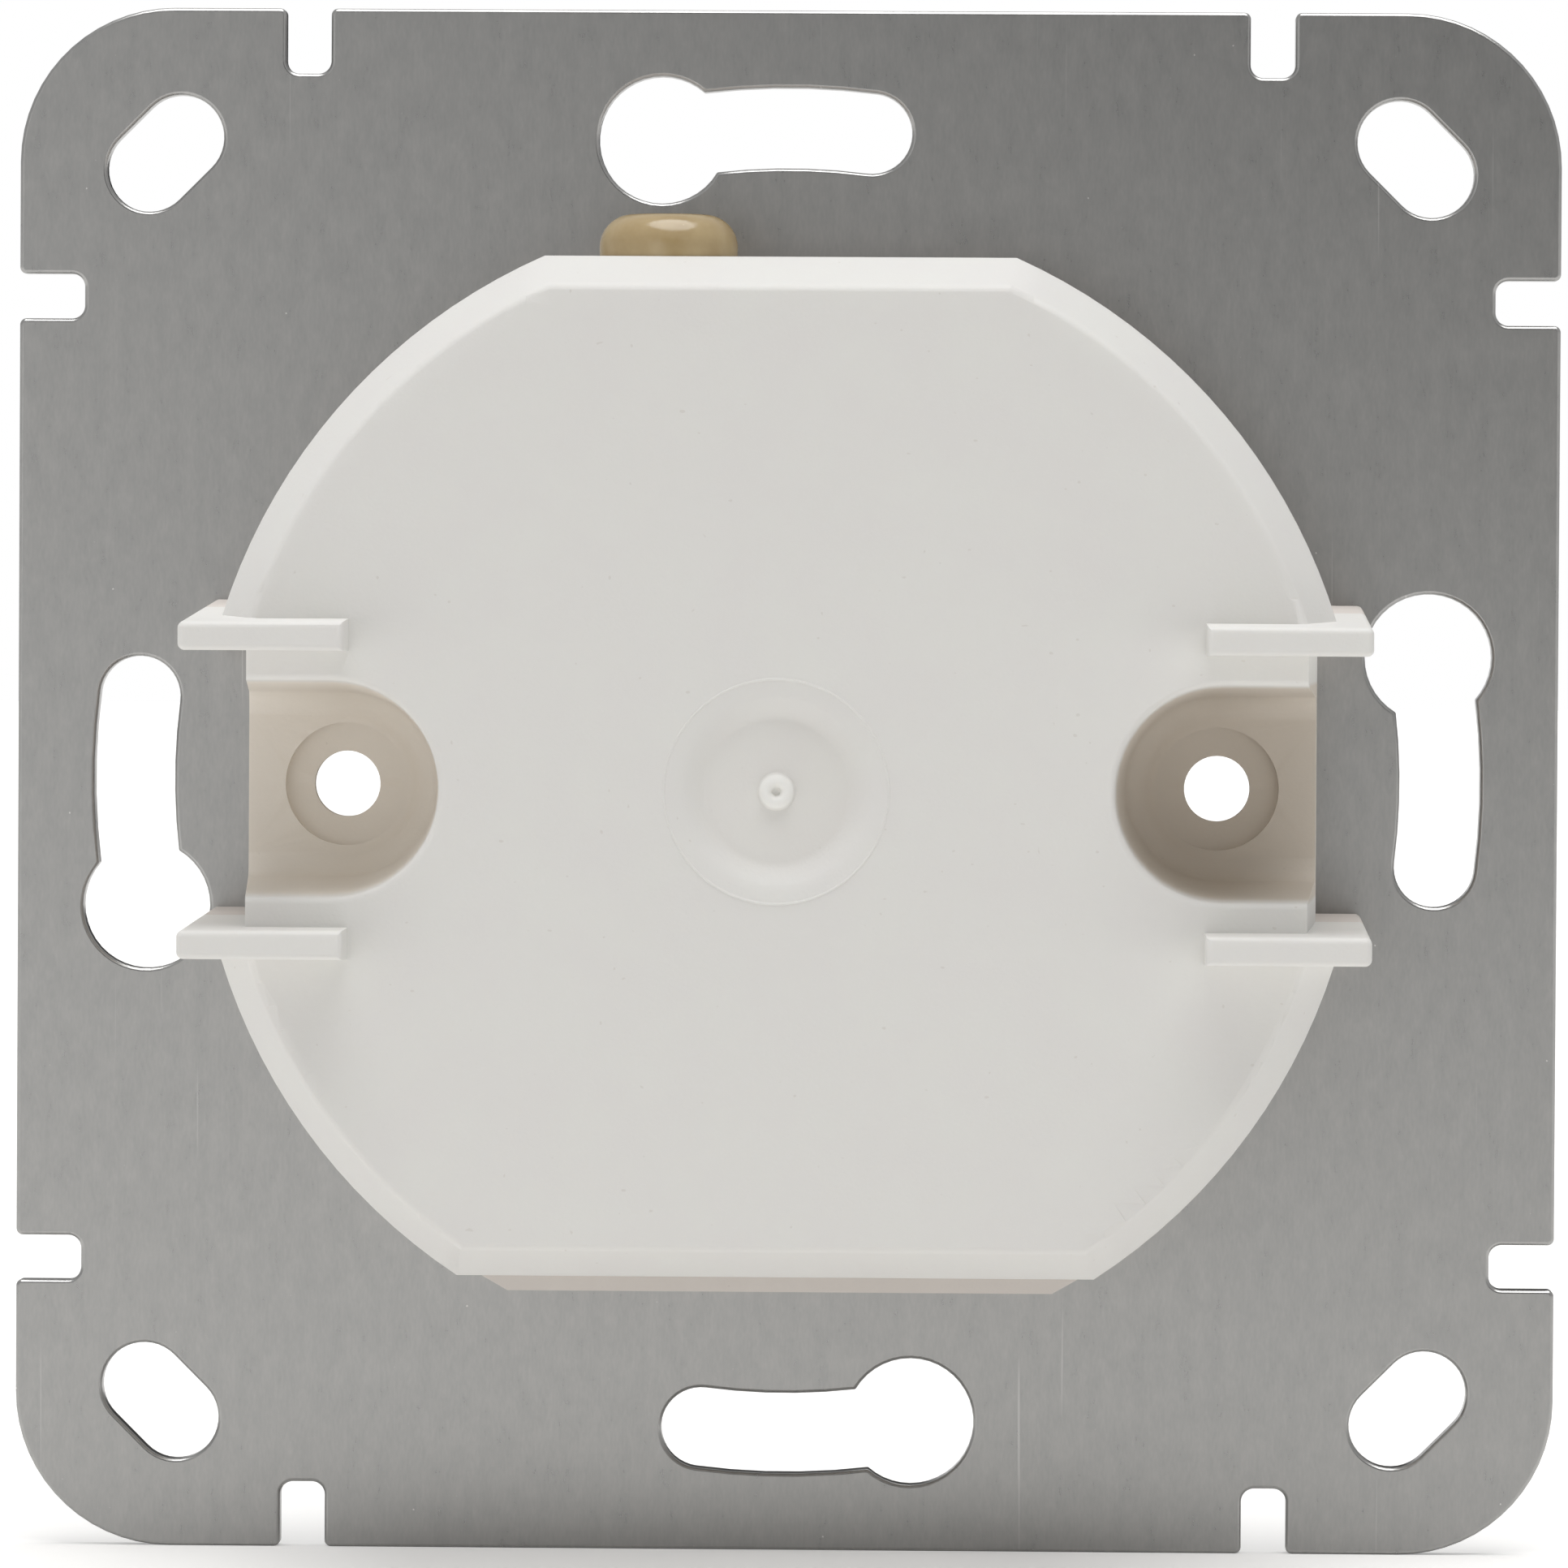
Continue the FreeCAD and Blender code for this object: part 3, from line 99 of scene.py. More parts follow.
def smoothShade(piece, degrees=meshValues["crease"]):
    activate(piece)
    bpy.ops.object.shade_smooth_by_angle(angle=math.radians(degrees))
    applyModifier(piece, "WEIGHTED_NORMAL", keep_sharp=True)


def roundEdges(piece, width, corners="MITER_ARC"):
    applyModifier(piece, "BEVEL", width=width * mm, segments=meshValues["segments"], limit_method="ANGLE",
                  angle_limit=math.radians(meshValues["sharp"]), miter_outer=corners)


def copyOfNode(node, name, wholeFaces=False):
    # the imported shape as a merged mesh, with its flat triangles joined into quads or into whole faces
    piece = bpy.data.objects.new(name, frame["nodes"][node].data.copy())
    bpy.context.scene.collection.objects.link(piece)
    activate(piece)
    if piece.data.has_custom_normals:
        bpy.ops.mesh.customdata_custom_splitnormals_clear()
    flat = math.radians(meshValues["flat"])
    bpy.ops.object.mode_set(mode="EDIT")
    bpy.ops.mesh.select_all(action="SELECT")
    bpy.ops.mesh.remove_doubles(threshold=meshValues["merge"] * mm)
    if wholeFaces:
        bpy.ops.mesh.dissolve_limited(angle_limit=flat)
    else:
        bpy.ops.mesh.tris_convert_to_quads(face_threshold=flat, shape_threshold=math.pi)
    bpy.ops.object.mode_set(mode="OBJECT")
    return piece


def joinTo(piece, other):
    activate(piece)
    other.select_set(True)
    bpy.ops.object.join()


def finishPiece(piece, node, material):
    piece.data.materials.clear()
    piece.data.materials.append(material)
    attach(piece, bodyOfNode[node])
    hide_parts(node)
    return piece


def markEdges(piece, wanted):
    # selects the wanted edges alone, because marks left on faces and vertices would bring others back
    chosen = [edge.index for edge in piece.data.edges if wanted(edge)]
    for item in [*piece.data.polygons, *piece.data.edges, *piece.data.vertices]:
        item.select = False
    for index in chosen:
        piece.data.edges[index].select = True


def editFaces(piece, wanted):
    # opens edit mode with the faces selected of which all corners are wanted
    activate(piece)
    bpy.ops.object.mode_set(mode="EDIT")
    bpy.ops.mesh.select_mode(type="FACE")
    bpy.ops.mesh.select_all(action="DESELECT")
    bpy.ops.object.mode_set(mode="OBJECT")
    for face in piece.data.polygons:
        face.select = all(wanted(piece.data.vertices[corner].co / mm) for corner in face.vertices)
    bpy.ops.object.mode_set(mode="EDIT")


def dressNode(node, name, material, edge=0.0, wholeFaces=False):
    # a copy with its sharp edges rounded by a real amount
    piece = copyOfNode(node, name, wholeFaces)
    if edge:
        roundEdges(piece, edge)
    smoothShade(piece)
    return finishPiece(piece, node, material)


# Small helpers for materials

def colour(code):
    # an sRGB hex value as the linear colour that the shader takes
    parts = [int(code[i:i + 2], 16) / 255 for i in (1, 3, 5)]
    linear = [c / 12.92 if c <= 0.04045 else ((c + 0.055) / 1.055) ** 2.4 for c in parts]
    return (*linear, 1.0)


def perMetre(size):
    # a pattern's scale from its feature size in millimetres
    return 1 / (size * mm)


def addNode(tree, kind, settings=None, inputs=None, output=0):
    # a node with its settings and its inputs linked or filled in, handed back as one of its outputs
    node = tree.nodes.new("ShaderNode" + kind)
    for key, value in (settings or {}).items():
        setattr(node, key, value)
    for key, value in (inputs or {}).items():
        if isinstance(value, bpy.types.NodeSocket):
            tree.links.new(value, node.inputs[key])
        else:
            node.inputs[key].default_value = value
    return node.outputs[output]


def newMaterial(name, **shaderValues):
    material = bpy.data.materials.new(name)
    material.use_nodes = True
    tree = material.node_tree
    shader = tree.nodes["Principled BSDF"]
    for key, value in shaderValues.items():
        shader.inputs[key.replace("_", " ")].default_value = value
    place = addNode(tree, "TexCoord", output="Object")
    return material, tree, shader, place


def noiseAt(tree, place, size, stretch=(1, 1, 1), detail=2.0, low=0.3, high=0.7):
    # noise between 0 and 1 with features of a size in millimetres, drawn out where stretch is under 1
    spread = addNode(tree, "Mapping", None, {"Vector": place, "Scale": stretch})
    noise = addNode(tree, "TexNoise", None, {"Vector": spread, "Scale": perMetre(size), "Detail": detail})
    return addNode(tree, "MapRange", None, {0: noise, 1: low, 2: high})


def layOver(tree, base, pattern, share, code):
    # lays a colour over the base where the pattern is high, as thickly as the share says
    amount = addNode(tree, "Math", {"operation": "MULTIPLY"}, {0: pattern, 1: share})
    return addNode(tree, "Mix", {"data_type": "RGBA"}, {0: amount, 6: base, 7: colour(code)}, 2)


def finishSurface(tree, shader, base, relief, roughness, values):
    # the relief moves the roughness to either side, and stands out as fine bumps
    spread = values["roughnessSpread"]
    rough = addNode(tree, "Math", {"operation": "MULTIPLY_ADD"},
                    {0: relief, 1: spread, 2: roughness - spread / 2})
    bump = addNode(tree, "Bump", None, {"Strength": values["bumpStrength"],
                                        "Distance": values["bumpHeight"] * mm, "Height": relief})
    tree.links.new(base, shader.inputs["Base Color"])
    tree.links.new(rough, shader.inputs["Roughness"])
    tree.links.new(bump, shader.inputs["Normal"])


# Galvanised sheet steel: cold rolled, zinc coated and punched. The zinc gives a dull grey with a fine mottle
# drawn out along the rolling direction, which is upright here, a few bright specks and handling marks. The
# real grain is finer, and is drawn as coarse as it needs to show.

plateSteel = {
    "light": "#b4b3b1",
    "dark": "#a4a4a3",
    "mark": "#dedddb",
    "markShare": 0.4,
    "speck": "#f3f2ef",
    "speckShare": 0.6,
    "roughness": 0.28,
    "roughnessSpread": 0.02,
    "bumpStrength": 0.004,
    "bumpHeight": 0.01,
    "grain": {"size": 0.14, "stretch": (1, 1, 0.3), "detail": 3.0, "low": 0.25, "high": 0.75},
    "mottle": {"size": 0.7, "stretch": (1, 1, 0.4), "detail": 3.0},
    "marks": {"size": 0.25, "stretch": (1, 1, 0.012), "detail": 1.0, "low": 0.75, "high": 0.8},
    "specks": {"size": 0.22, "detail": 0.0, "low": 0.88, "high": 0.9},
}


def makePlateSteel():
    values = plateSteel
    material, tree, shader, place = newMaterial("galvanisedSheetRolled", Metallic=1.0)
    grain, mottle, marks, specks = (noiseAt(tree, place, **values[pattern])
                                    for pattern in ("grain", "mottle", "marks", "specks"))
    both = addNode(tree, "Math", {"operation": "ADD"}, {0: grain, 1: mottle})
    tone = addNode(tree, "Math", {"operation": "MULTIPLY"}, {0: both, 1: 0.5})
    base = addNode(tree, "Mix", {"data_type": "RGBA"},
                   {0: tone, 6: colour(values["dark"]), 7: colour(values["light"])}, 2)
    base = layOver(tree, base, marks, values["markShare"], values["mark"])
    base = layOver(tree, base, specks, values["speckShare"], values["speck"])
    finishSurface(tree, shader, base, tone, values["roughness"], values)
    return material


# Moulded, pressed and coated materials: the tool's surface leaves a fine matt grain, the mix a faint
# cloudiness, and some dust sticks to them. The real grain is finer, and is drawn as coarse as it needs
# to show.

mouldedLook = {
    "ior": 1.55,
    "scatterRadius": (1.0, 0.9, 0.8),
    "scatterDepth": 0.6,
    "cloudDetail": 4.0,
    "grainRange": (0.25, 0.75),
    "dust": {"size": 0.3, "detail": 0.0, "low": 0.85, "high": 0.88},
    "roughnessSpread": 0.08,
    "bumpHeight": 0.02,
}


def paintPocketLightAndShade(tree, place, base, values):
    # painted light and painted shade in the claw pockets, which lie low and near z 0: the pocket towards +X
    # is painted warmer for light passing through the plastic, and the pocket towards -X, on the right as the
    # camera sees it, is painted duller and darker as painted shade
    parts = addNode(tree, "SeparateXYZ", None, {0: place}).node
    low = addNode(tree, "MapRange", {"interpolation_type": "SMOOTHSTEP"},
                  {0: parts.outputs["Y"], 1: values["pocketTop"] * mm, 2: values["pocketFull"] * mm})
    fromMiddle = addNode(tree, "Math", {"operation": "ABSOLUTE"}, {0: parts.outputs["Z"]})
    half = values["pocketHalf"]
    near = addNode(tree, "MapRange", None,
                   {0: fromMiddle, 1: half * mm, 2: half * values["pocketEdge"] * mm})
    inside = addNode(tree, "Math", {"operation": "MULTIPLY"}, {0: low, 1: near})
    side = addNode(tree, "MapRange", None,
                   {0: parts.outputs["X"], 1: -values["pocketBlend"] * mm, 2: values["pocketBlend"] * mm})
    pocketPaint = addNode(tree, "Mix", {"data_type": "RGBA"},
                   {0: side, 6: colour(values["pocketRight"]), 7: colour(values["pocketLeft"])}, 2)
    return addNode(tree, "Mix", {"data_type": "RGBA"}, {0: inside, 6: base, 7: pocketPaint}, 2)


def whitenGate(tree, place, base, values):
    # a small round spot about the axis, where the gate was, is drawn lighter than the plastic around it
    across = addNode(tree, "VectorMath", {"operation": "MULTIPLY"}, {0: place, 1: (1, 0, 1)})
    reach = addNode(tree, "VectorMath", {"operation": "LENGTH"}, {0: across}, "Value")
    gateReach = values["gateReach"]
    torn = addNode(tree, "MapRange", None,
                   {0: reach, 1: gateReach * mm, 2: gateReach * values["gateEdge"] * mm})
    return addNode(tree, "Mix", {"data_type": "RGBA"}, {0: torn, 6: base, 7: colour(values["gate"])}, 2)


def makeMoulded(name, values):
    look = {**mouldedLook, "bumpStrength": values["grainDepth"]}
    material, tree, shader, place = newMaterial(name, IOR=look["ior"])
    shader.inputs["Subsurface Weight"].default_value = values.get("glow", 0.0)
    shader.inputs["Subsurface Radius"].default_value = look["scatterRadius"]
    shader.inputs["Subsurface Scale"].default_value = look["scatterDepth"] * mm
    cloud = noiseAt(tree, place, values["cloudSize"], detail=look["cloudDetail"])
    grain = noiseAt(tree, place, values["grainSize"], low=look["grainRange"][0], high=look["grainRange"][1])
    dust = noiseAt(tree, place, **look["dust"])
    base = addNode(tree, "Mix", {"data_type": "RGBA"},
                   {0: cloud, 6: colour(values["dark"]), 7: colour(values["light"])}, 2)
    if "pocketTop" in values:
        base = paintPocketLightAndShade(tree, place, base, values)
        base = whitenGate(tree, place, base, values)
    base = layOver(tree, base, dust, values["dust"], values["dustColour"])
    finishSurface(tree, shader, base, grain, values["roughness"], look)
    return material


# Polycarbonate from an eroded mould: pale grey and matt, and light goes a little way into it.
coverPlastic = {"light": "#e3e2de", "dark": "#e2e0dd", "dustColour": "#c4bdb4", "dust": 0.3,
                "roughness": 0.62, "cloudSize": 3.0, "grainSize": 0.16, "grainDepth": 0.25, "glow": 0.12,
                # the pocket colours below are painted light and painted shade in the claw pockets
                "pocketLeft": "#e8e1d7", "pocketRight": "#d5ccc0", "pocketTop": 21.4, "pocketFull": 18.5,
                "pocketHalf": 4.9, "pocketEdge": 0.96, "pocketBlend": 1.0,
                "gate": "#efeeea", "gateReach": 0.8, "gateEdge": 0.9}
# Urea resin, pressed hot: warmer than the cover, and as matt.
basePlastic = {"light": "#dcd5cf", "dark": "#d8d1cb", "dustColour": "#b5aca3", "dust": 0.3,
               "roughness": 0.6, "cloudSize": 3.0, "grainSize": 0.16, "grainDepth": 0.25, "glow": 0.08}
# Nylon from a polished mould: tan and glossy.
tanPlastic = {"light": "#b7a37c", "dark": "#a8926a", "dustColour": "#cdbf9d", "dust": 0.2,
              "roughness": 0.17, "cloudSize": 1.5, "grainSize": 0.3, "grainDepth": 0.06, "glow": 0.15}
# Nylon, moulded in black: dark and half dull.
blackPlastic = {"light": "#2b2b2c", "dark": "#232324", "dustColour": "#6b6b6b", "dust": 0.3,
                "roughness": 0.42, "cloudSize": 2.0, "grainSize": 0.14, "grainDepth": 0.3}
# Phenolic resin, moulded: dark brown, a little cloudy.
brownPlastic = {"light": "#5c4030", "dark": "#4d3426", "dustColour": "#8d7a6c", "dust": 0.2,
                "roughness": 0.36, "cloudSize": 1.2, "grainSize": 0.2, "grainDepth": 0.2}
# Polyester, moulded as the box of a film capacitor: yellow and fairly smooth.
filmBoxPlastic = {"light": "#d6b52b", "dark": "#c9a620", "dustColour": "#f0dc8a", "dust": 0.2,
                  "roughness": 0.25, "cloudSize": 2.0, "grainSize": 0.25, "grainDepth": 0.1}
# Silicone, rolled into sheet: blue grey and dull, and dust sticks to it.
padSilicone = {"light": "#a3acb2", "dark": "#98a1a8", "dustColour": "#d5dadd", "dust": 0.5,
               "roughness": 0.6, "cloudSize": 1.0, "grainSize": 0.1, "grainDepth": 0.3}
# Paper laminate, pressed into board: light brown and cloudy, with a silky face.
laminate = {"light": "#a58455", "dark": "#947345", "dustColour": "#c9ad80", "dust": 0.4,
            "roughness": 0.45, "cloudSize": 1.6, "grainSize": 0.2, "grainDepth": 0.25}
# Ferrite, sintered: charcoal, with a coarse dull grain.
ferriteBlack = {"light": "#3a3b3f", "dark": "#2c2d31", "dustColour": "#7a7b80", "dust": 0.3,
                "roughness": 0.55, "cloudSize": 0.6, "grainSize": 0.1, "grainDepth": 0.5}
# Lacquer, dipped: sand coloured and smooth.
resistorCoat = {"light": "#cfae7c", "dark": "#c09e6b", "dustColour": "#e0c79b", "dust": 0.2,
                "roughness": 0.3, "cloudSize": 1.0, "grainSize": 0.2, "grainDepth": 0.1}
# Copper wire, enamelled: red brown under a glossy coat.
wireEnamel = {"light": "#8c4a22", "dark": "#7a3c18", "dustColour": "#b4764b", "dust": 0.2,
              "roughness": 0.22, "cloudSize": 1.5, "grainSize": 0.3, "grainDepth": 0.05}


# Metals: the marks of the tool are drawn out the way that it ran. The real marks are finer, and are drawn as
# coarse as they need to show.

metalLook = {"cloudDetail": 3.0, "roughnessSpread": 0.12, "bumpStrength": 0.15, "bumpHeight": 0.01}


def makeMetal(name, values):
    look = metalLook
    material, tree, shader, place = newMaterial(name, Metallic=1.0)
    cloud = noiseAt(tree, place, values["cloudSize"], detail=look["cloudDetail"])
    marks = noiseAt(tree, place, values["markWidth"], values["along"])
    base = addNode(tree, "Mix", {"data_type": "RGBA"},
                   {0: cloud, 6: colour(values["dark"]), 7: colour(values["light"])}, 2)
    finishSurface(tree, shader, base, marks, values["roughness"], look)
    return material


# Steel, turned and zinc plated: bright and faintly blue, with marks across the Y axis.
zincSteel = {"light": "#d2d3d4", "dark": "#bcbec2", "roughness": 0.28, "cloudSize": 2.0,
             "markWidth": 0.08, "along": (0.15, 1, 0.15)}
# Brass, turned and nickel plated: a warm silver, with marks across the Y axis.
nickelBrass = {"light": "#d3cfc4", "dark": "#c4bfb2", "roughness": 0.22, "cloudSize": 2.5,
               "markWidth": 0.08, "along": (0.15, 1, 0.15)}
# Brass strip, rolled and stamped: yellow, with upright marks.
bareBrass = {"light": "#d8b768", "dark": "#c5a055", "roughness": 0.26, "cloudSize": 1.5,
             "markWidth": 0.08, "along": (1, 1, 0.15)}
# Spring steel, drawn: a darker grey, with marks across the Y axis.
springSteel = {"light": "#a9a9aa", "dark": "#8d8d90", "roughness": 0.3, "cloudSize": 1.5,
               "markWidth": 0.06, "along": (0.15, 1, 0.15)}
# Copper, tinned in a bath: a soft warm grey, uneven, with no direction.
tinnedCopper = {"light": "#cfcac2", "dark": "#b9b4ab", "roughness": 0.34, "cloudSize": 0.8,
                "markWidth": 0.1, "along": (1, 1, 1)}


# Glass, drawn as a tube: clear with a faint green, and faint streaks along its upright length.

fuseGlass = {"tint": "#eef6f2", "roughness": 0.03, "ior": 1.5, "streakWidth": 0.6, "along": (1, 1, 0.1),
             "bumpStrength": 0.03, "bumpHeight": 0.02}


def makeGlass():
    values = fuseGlass
    material, tree, shader, place = newMaterial("fuseGlassDrawn", Roughness=values["roughness"],
                                                IOR=values["ior"])
    shader.inputs["Base Color"].default_value = colour(values["tint"])
    shader.inputs["Transmission Weight"].default_value = 1.0
    streak = noiseAt(tree, place, values["streakWidth"], values["along"])
    bump = addNode(tree, "Bump", None, {"Strength": values["bumpStrength"],
                                        "Distance": values["bumpHeight"] * mm, "Height": streak})
    tree.links.new(bump, shader.inputs["Normal"])
    return material


materials = {
    "galvanised_plate": makePlateSteel(),
    "zinc_steel": makeMetal("zincPlatedSteel", zincSteel),
    "white_moulding": makeMoulded("polycarbonateMoulded", coverPlastic),
    "warm_moulding": makeMoulded("ureaMoulded", basePlastic),
    "nickel_brass": makeMetal("nickelPlatedBrassTurned", nickelBrass),
    "bare_brass": makeMetal("brassStripStamped", bareBrass),
    "board_laminate": makeMoulded("paperLaminatePressed", laminate),
    "black_moulding": makeMoulded("nylonBlackMoulded", blackPlastic),
    "brown_moulding": makeMoulded("phenolicBrownMoulded", brownPlastic),
    "spring_steel": makeMetal("springSteelDrawn", springSteel),
    "tinned_copper": makeMetal("copperTinned", tinnedCopper),
    "ferrite": makeMoulded("ferriteSintered", ferriteBlack),
    "enamelled_wire": makeMoulded("copperEnamelled", wireEnamel),
    "film_box": makeMoulded("polyesterBoxMoulded", filmBoxPlastic),
    "silicone_pad": makeMoulded("siliconeSheet", padSilicone),
    "amber_plastic": makeMoulded("nylonTanPolished", tanPlastic),
    "fuse_glass": makeGlass(),
    "resistor_coat": makeMoulded("resistorLacquered", resistorCoat),
}
print("materials made:", len(materials))


# Pieces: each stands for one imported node, with its edges rounded as the real process leaves them.

edgeRounding = {"rear_cover": 0.14, "housing_base": 0.14, "support_plate": 0.14, "fuse_carrier": 0.08,
                "others": 0.05}

ownNames = {"triac": "triacBody", "diac": "diacBody", "resistors": "resistorSet"}  # nodes of one word


def plainName(node):
    words = node.split("_")
    return ownNames.get(node, words[0] + "".join(word.title() for word in words[1:]))


def makeDressed(node):
    return dressNode(node, plainName(node), materials[slotOfNode[node]],
                     edgeRounding.get(node, edgeRounding["others"]), wholeFaces=node == "support_plate")


# The cover: the step from its bevel to its rear face is drawn out softly, and its gate mark is a shallow
# bowl with a fine raised line as its rim, a soft foot and a round ring in the middle.

coverForm = {
    "faceRadius": 24.03,    # round rim of the rear face
    "flatDropTop": 2.2,     # the rear face's upper flat lies this far inside that radius
    "flatDropBottom": 4.2,  # and the lower one this far
    "loose": 0.08,          # how far a point of the round rim may be off it
    "tolerance": 0.03,      # the same for a flat or for the bowl's rim
    "level": 0.005,         # the same for the height of the rear face
    "betweenFins": 8.0,     # the rear face is the highest place within this distance of the middle
    "flatAngle": 0.3,       # triangles of the rear face that differ by less are one face
    "softStep": 0.7,        # way inwards of the step's inner end
    "clearOfFins": 7.0,     # where that begins, up and down from the middle
    "fadeLength": 11.0,     # length over which it grows to the full way
    "fanDepth": 0.1,        # an edge that ends deeper under the rear face is part of a fan
    "rimRadius": 5.0,       # rim of the bowl
    "bowlDepth": 0.55,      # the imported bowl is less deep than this
    # reach and height over the rear face: the rim's raised line, the slope, the floor, the gate's ring
    # and its pit
    "bowl": [(4.97, 0.035), (4.92, 0.035), (4.88, 0.0), (4.5, -0.05), (4.2, -0.12), (4.05, -0.19),
             (3.85, -0.31), (3.6, -0.47), (3.4, -0.59), (3.25, -0.66), (3.1, -0.69), (0.85, -0.69),
             (0.8, -0.63), (0.75, -0.5), (0.67, -0.38), (0.54, -0.31), (0.4, -0.31), (0.28, -0.38),
             (0.2, -0.5), (0.17, -0.65), (0.02, -0.7)],
}


def softenStep(piece, rear):
    # moves the inner end of the step's small round inwards, away from the fins. A rim point from which the
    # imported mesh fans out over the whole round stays, because the fan would show.
    values = coverForm
    corners = piece.data.vertices
    fanned = {end for edge in piece.data.edges for end in edge.vertices
              if min(corners[other].co.y for other in edge.vertices) < (rear - values["fanDepth"]) * mm}
    for corner in corners:
        x, y, z = corner.co / mm
        reach = math.hypot(x, z)
        onRim = (abs(reach - values["faceRadius"]) < values["loose"]
                 or abs(z - values["faceRadius"] + values["flatDropTop"]) < values["tolerance"]
                 or abs(z + values["faceRadius"] - values["flatDropBottom"]) < values["tolerance"])
        free = abs(z) > values["clearOfFins"] and corner.index not in fanned
        if abs(y - rear) < values["level"] and onRim and free:
            share = min(1.0, (abs(z) - values["clearOfFins"]) / values["fadeLength"])
            shrink = 1 - values["softStep"] * share / reach
            corner.co.x *= shrink
            corner.co.z *= shrink


def openBowl(piece, rear):
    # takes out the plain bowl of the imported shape, down to the circle of its rim
    limit = coverForm["rimRadius"] + coverForm["tolerance"]
    floorHeight = rear - coverForm["bowlDepth"]
    editFaces(piece, lambda spot: math.hypot(spot.x, spot.z) < limit and spot.y > floorHeight)
    bpy.ops.mesh.delete(type="FACE")
    bpy.ops.object.mode_set(mode="OBJECT")


def turnBowl(piece, rear):
    # draws the rim's circle inwards, ring by ring
    values = coverForm
    rim = values["rimRadius"]

    def onRim(edge):
        spots = [piece.data.vertices[end].co / mm for end in edge.vertices]
        return all(abs(math.hypot(spot.x, spot.z) - rim) < values["tolerance"]
                   and abs(spot.y - rear) < values["level"] for spot in spots)

    activate(piece)
    bpy.ops.object.mode_set(mode="EDIT")
    bpy.ops.mesh.select_mode(type="EDGE")
    bpy.ops.object.mode_set(mode="OBJECT")
    markEdges(piece, onRim)
    bpy.ops.object.mode_set(mode="EDIT")
    reach, height = rim, 0.0
    for newReach, newHeight in values["bowl"]:
        rise = (0, (newHeight - height) * mm, 0)
        bpy.ops.mesh.extrude_region_move(TRANSFORM_OT_translate={"value": rise})
        ratio = newReach / reach
        bpy.ops.transform.resize(value=(ratio, 1, ratio), center_override=(0, 0, 0))
        reach, height = newReach, newHeight
    bpy.ops.mesh.edge_face_add()
    bpy.ops.mesh.select_all(action="SELECT")
    bpy.ops.mesh.normals_make_consistent(inside=False)
    bpy.ops.object.mode_set(mode="OBJECT")


def makeCover():
    values = coverForm
    piece = copyOfNode("rear_cover", "rearCover")
    middle = [corner.co.y for corner in piece.data.vertices if abs(corner.co.x) < values["betweenFins"] * mm]
    rear = max(middle) / mm
    openBowl(piece, rear)
    editFaces(piece, lambda spot: (abs(spot.y - rear) < values["level"]
                                   and abs(spot.z) > values["clearOfFins"]))
    bpy.ops.mesh.dissolve_limited(angle_limit=math.radians(values["flatAngle"]))
    bpy.ops.object.mode_set(mode="OBJECT")
    softenStep(piece, rear)
    activate(piece)
    bpy.ops.object.mode_set(mode="EDIT")
    bpy.ops.mesh.select_mode(type="FACE")
    bpy.ops.mesh.select_all(action="DESELECT")
    bpy.ops.mesh.select_face_by_sides(number=4, type="GREATER")
    bpy.ops.mesh.quads_convert_to_tris(ngon_method="BEAUTY")
    bpy.ops.object.mode_set(mode="OBJECT")
    roundEdges(piece, edgeRounding["rear_cover"])
    turnBowl(piece, rear)
    smoothShade(piece)
    return finishPiece(piece, "rear_cover", materials["white_moulding"])


# Threads and windings: one section, screwed round the axis Y through the origin by a modifier

def makeCoil(name, reach, section, values):
    # the section lies in the plane of X and Y, with its first corner outwards
    corners, pitch, turns, steps = (values[key] for key in ("corners", "pitch", "turns", "steps"))
    bpy.ops.object.select_all(action="DESELECT")
    bpy.ops.mesh.primitive_circle_add(vertices=corners, radius=section * mm, fill_type="NOTHING",
                                      location=(reach * mm, -pitch * turns / 2 * mm, 0),
                                      rotation=(0, 0, -math.pi / 2))
    coil = bpy.context.object
    coil.name = name
    bpy.ops.object.transform_apply(location=True, rotation=True, scale=True)
    applyModifier(coil, "SCREW", axis="Y", screw_offset=pitch * mm, iterations=turns, steps=steps,
                  render_steps=steps, use_normal_calculate=True)
    bpy.ops.object.mode_set(mode="EDIT")
    bpy.ops.mesh.select_all(action="SELECT")
    bpy.ops.mesh.fill_holes(sides=corners)
    bpy.ops.mesh.select_all(action="SELECT")
    bpy.ops.mesh.normals_make_consistent(inside=False)
    bpy.ops.object.mode_set(mode="OBJECT")
    return coil


# The bushing: its smooth barrel is turned down to the root of the thread, and the thread is wound on it.

bushingThread = {
    "crest": 5.0,
    "root": 4.66,
    "loose": 0.02,       # how far a point of the barrel may be off the crest's radius
    "barrelEnd": 0.01,   # the barrel's places have a smaller Y than this
    "edge": 0.05,
    "clear": 0.01,       # the ridge stays this far inside the crest
    "fill": 0.99,        # share of the pitch that the ridge takes
    "corners": 3,
    "pitch": 0.75,
    "turns": 9,
    "steps": 48,
    "middle": -3.85,
}


def makeBushing():
    values = bushingThread
    piece = copyOfNode("threaded_bushing", "threadedBushing")
    for corner in piece.data.vertices:
        offCrest = math.hypot(corner.co.x, corner.co.z) / mm - values["crest"]
        if abs(offCrest) < values["loose"] and corner.co.y < values["barrelEnd"] * mm:
            corner.co.x *= values["root"] / values["crest"]
            corner.co.z *= values["root"] / values["crest"]
    roundEdges(piece, values["edge"], "MITER_SHARP")
    section = values["pitch"] / math.sqrt(3) * values["fill"]
    thread = makeCoil("thread", values["crest"] - values["clear"] - section, section, values)
    thread.data.transform(Matrix.Translation((0, values["middle"] * mm, 0)))
    joinTo(piece, thread)
    smoothShade(piece)
    return finishPiece(piece, "threaded_bushing", materials["nickel_brass"])


# The choke's winding: one outer layer of enamelled wire over the layer below, which stays a plain sleeve

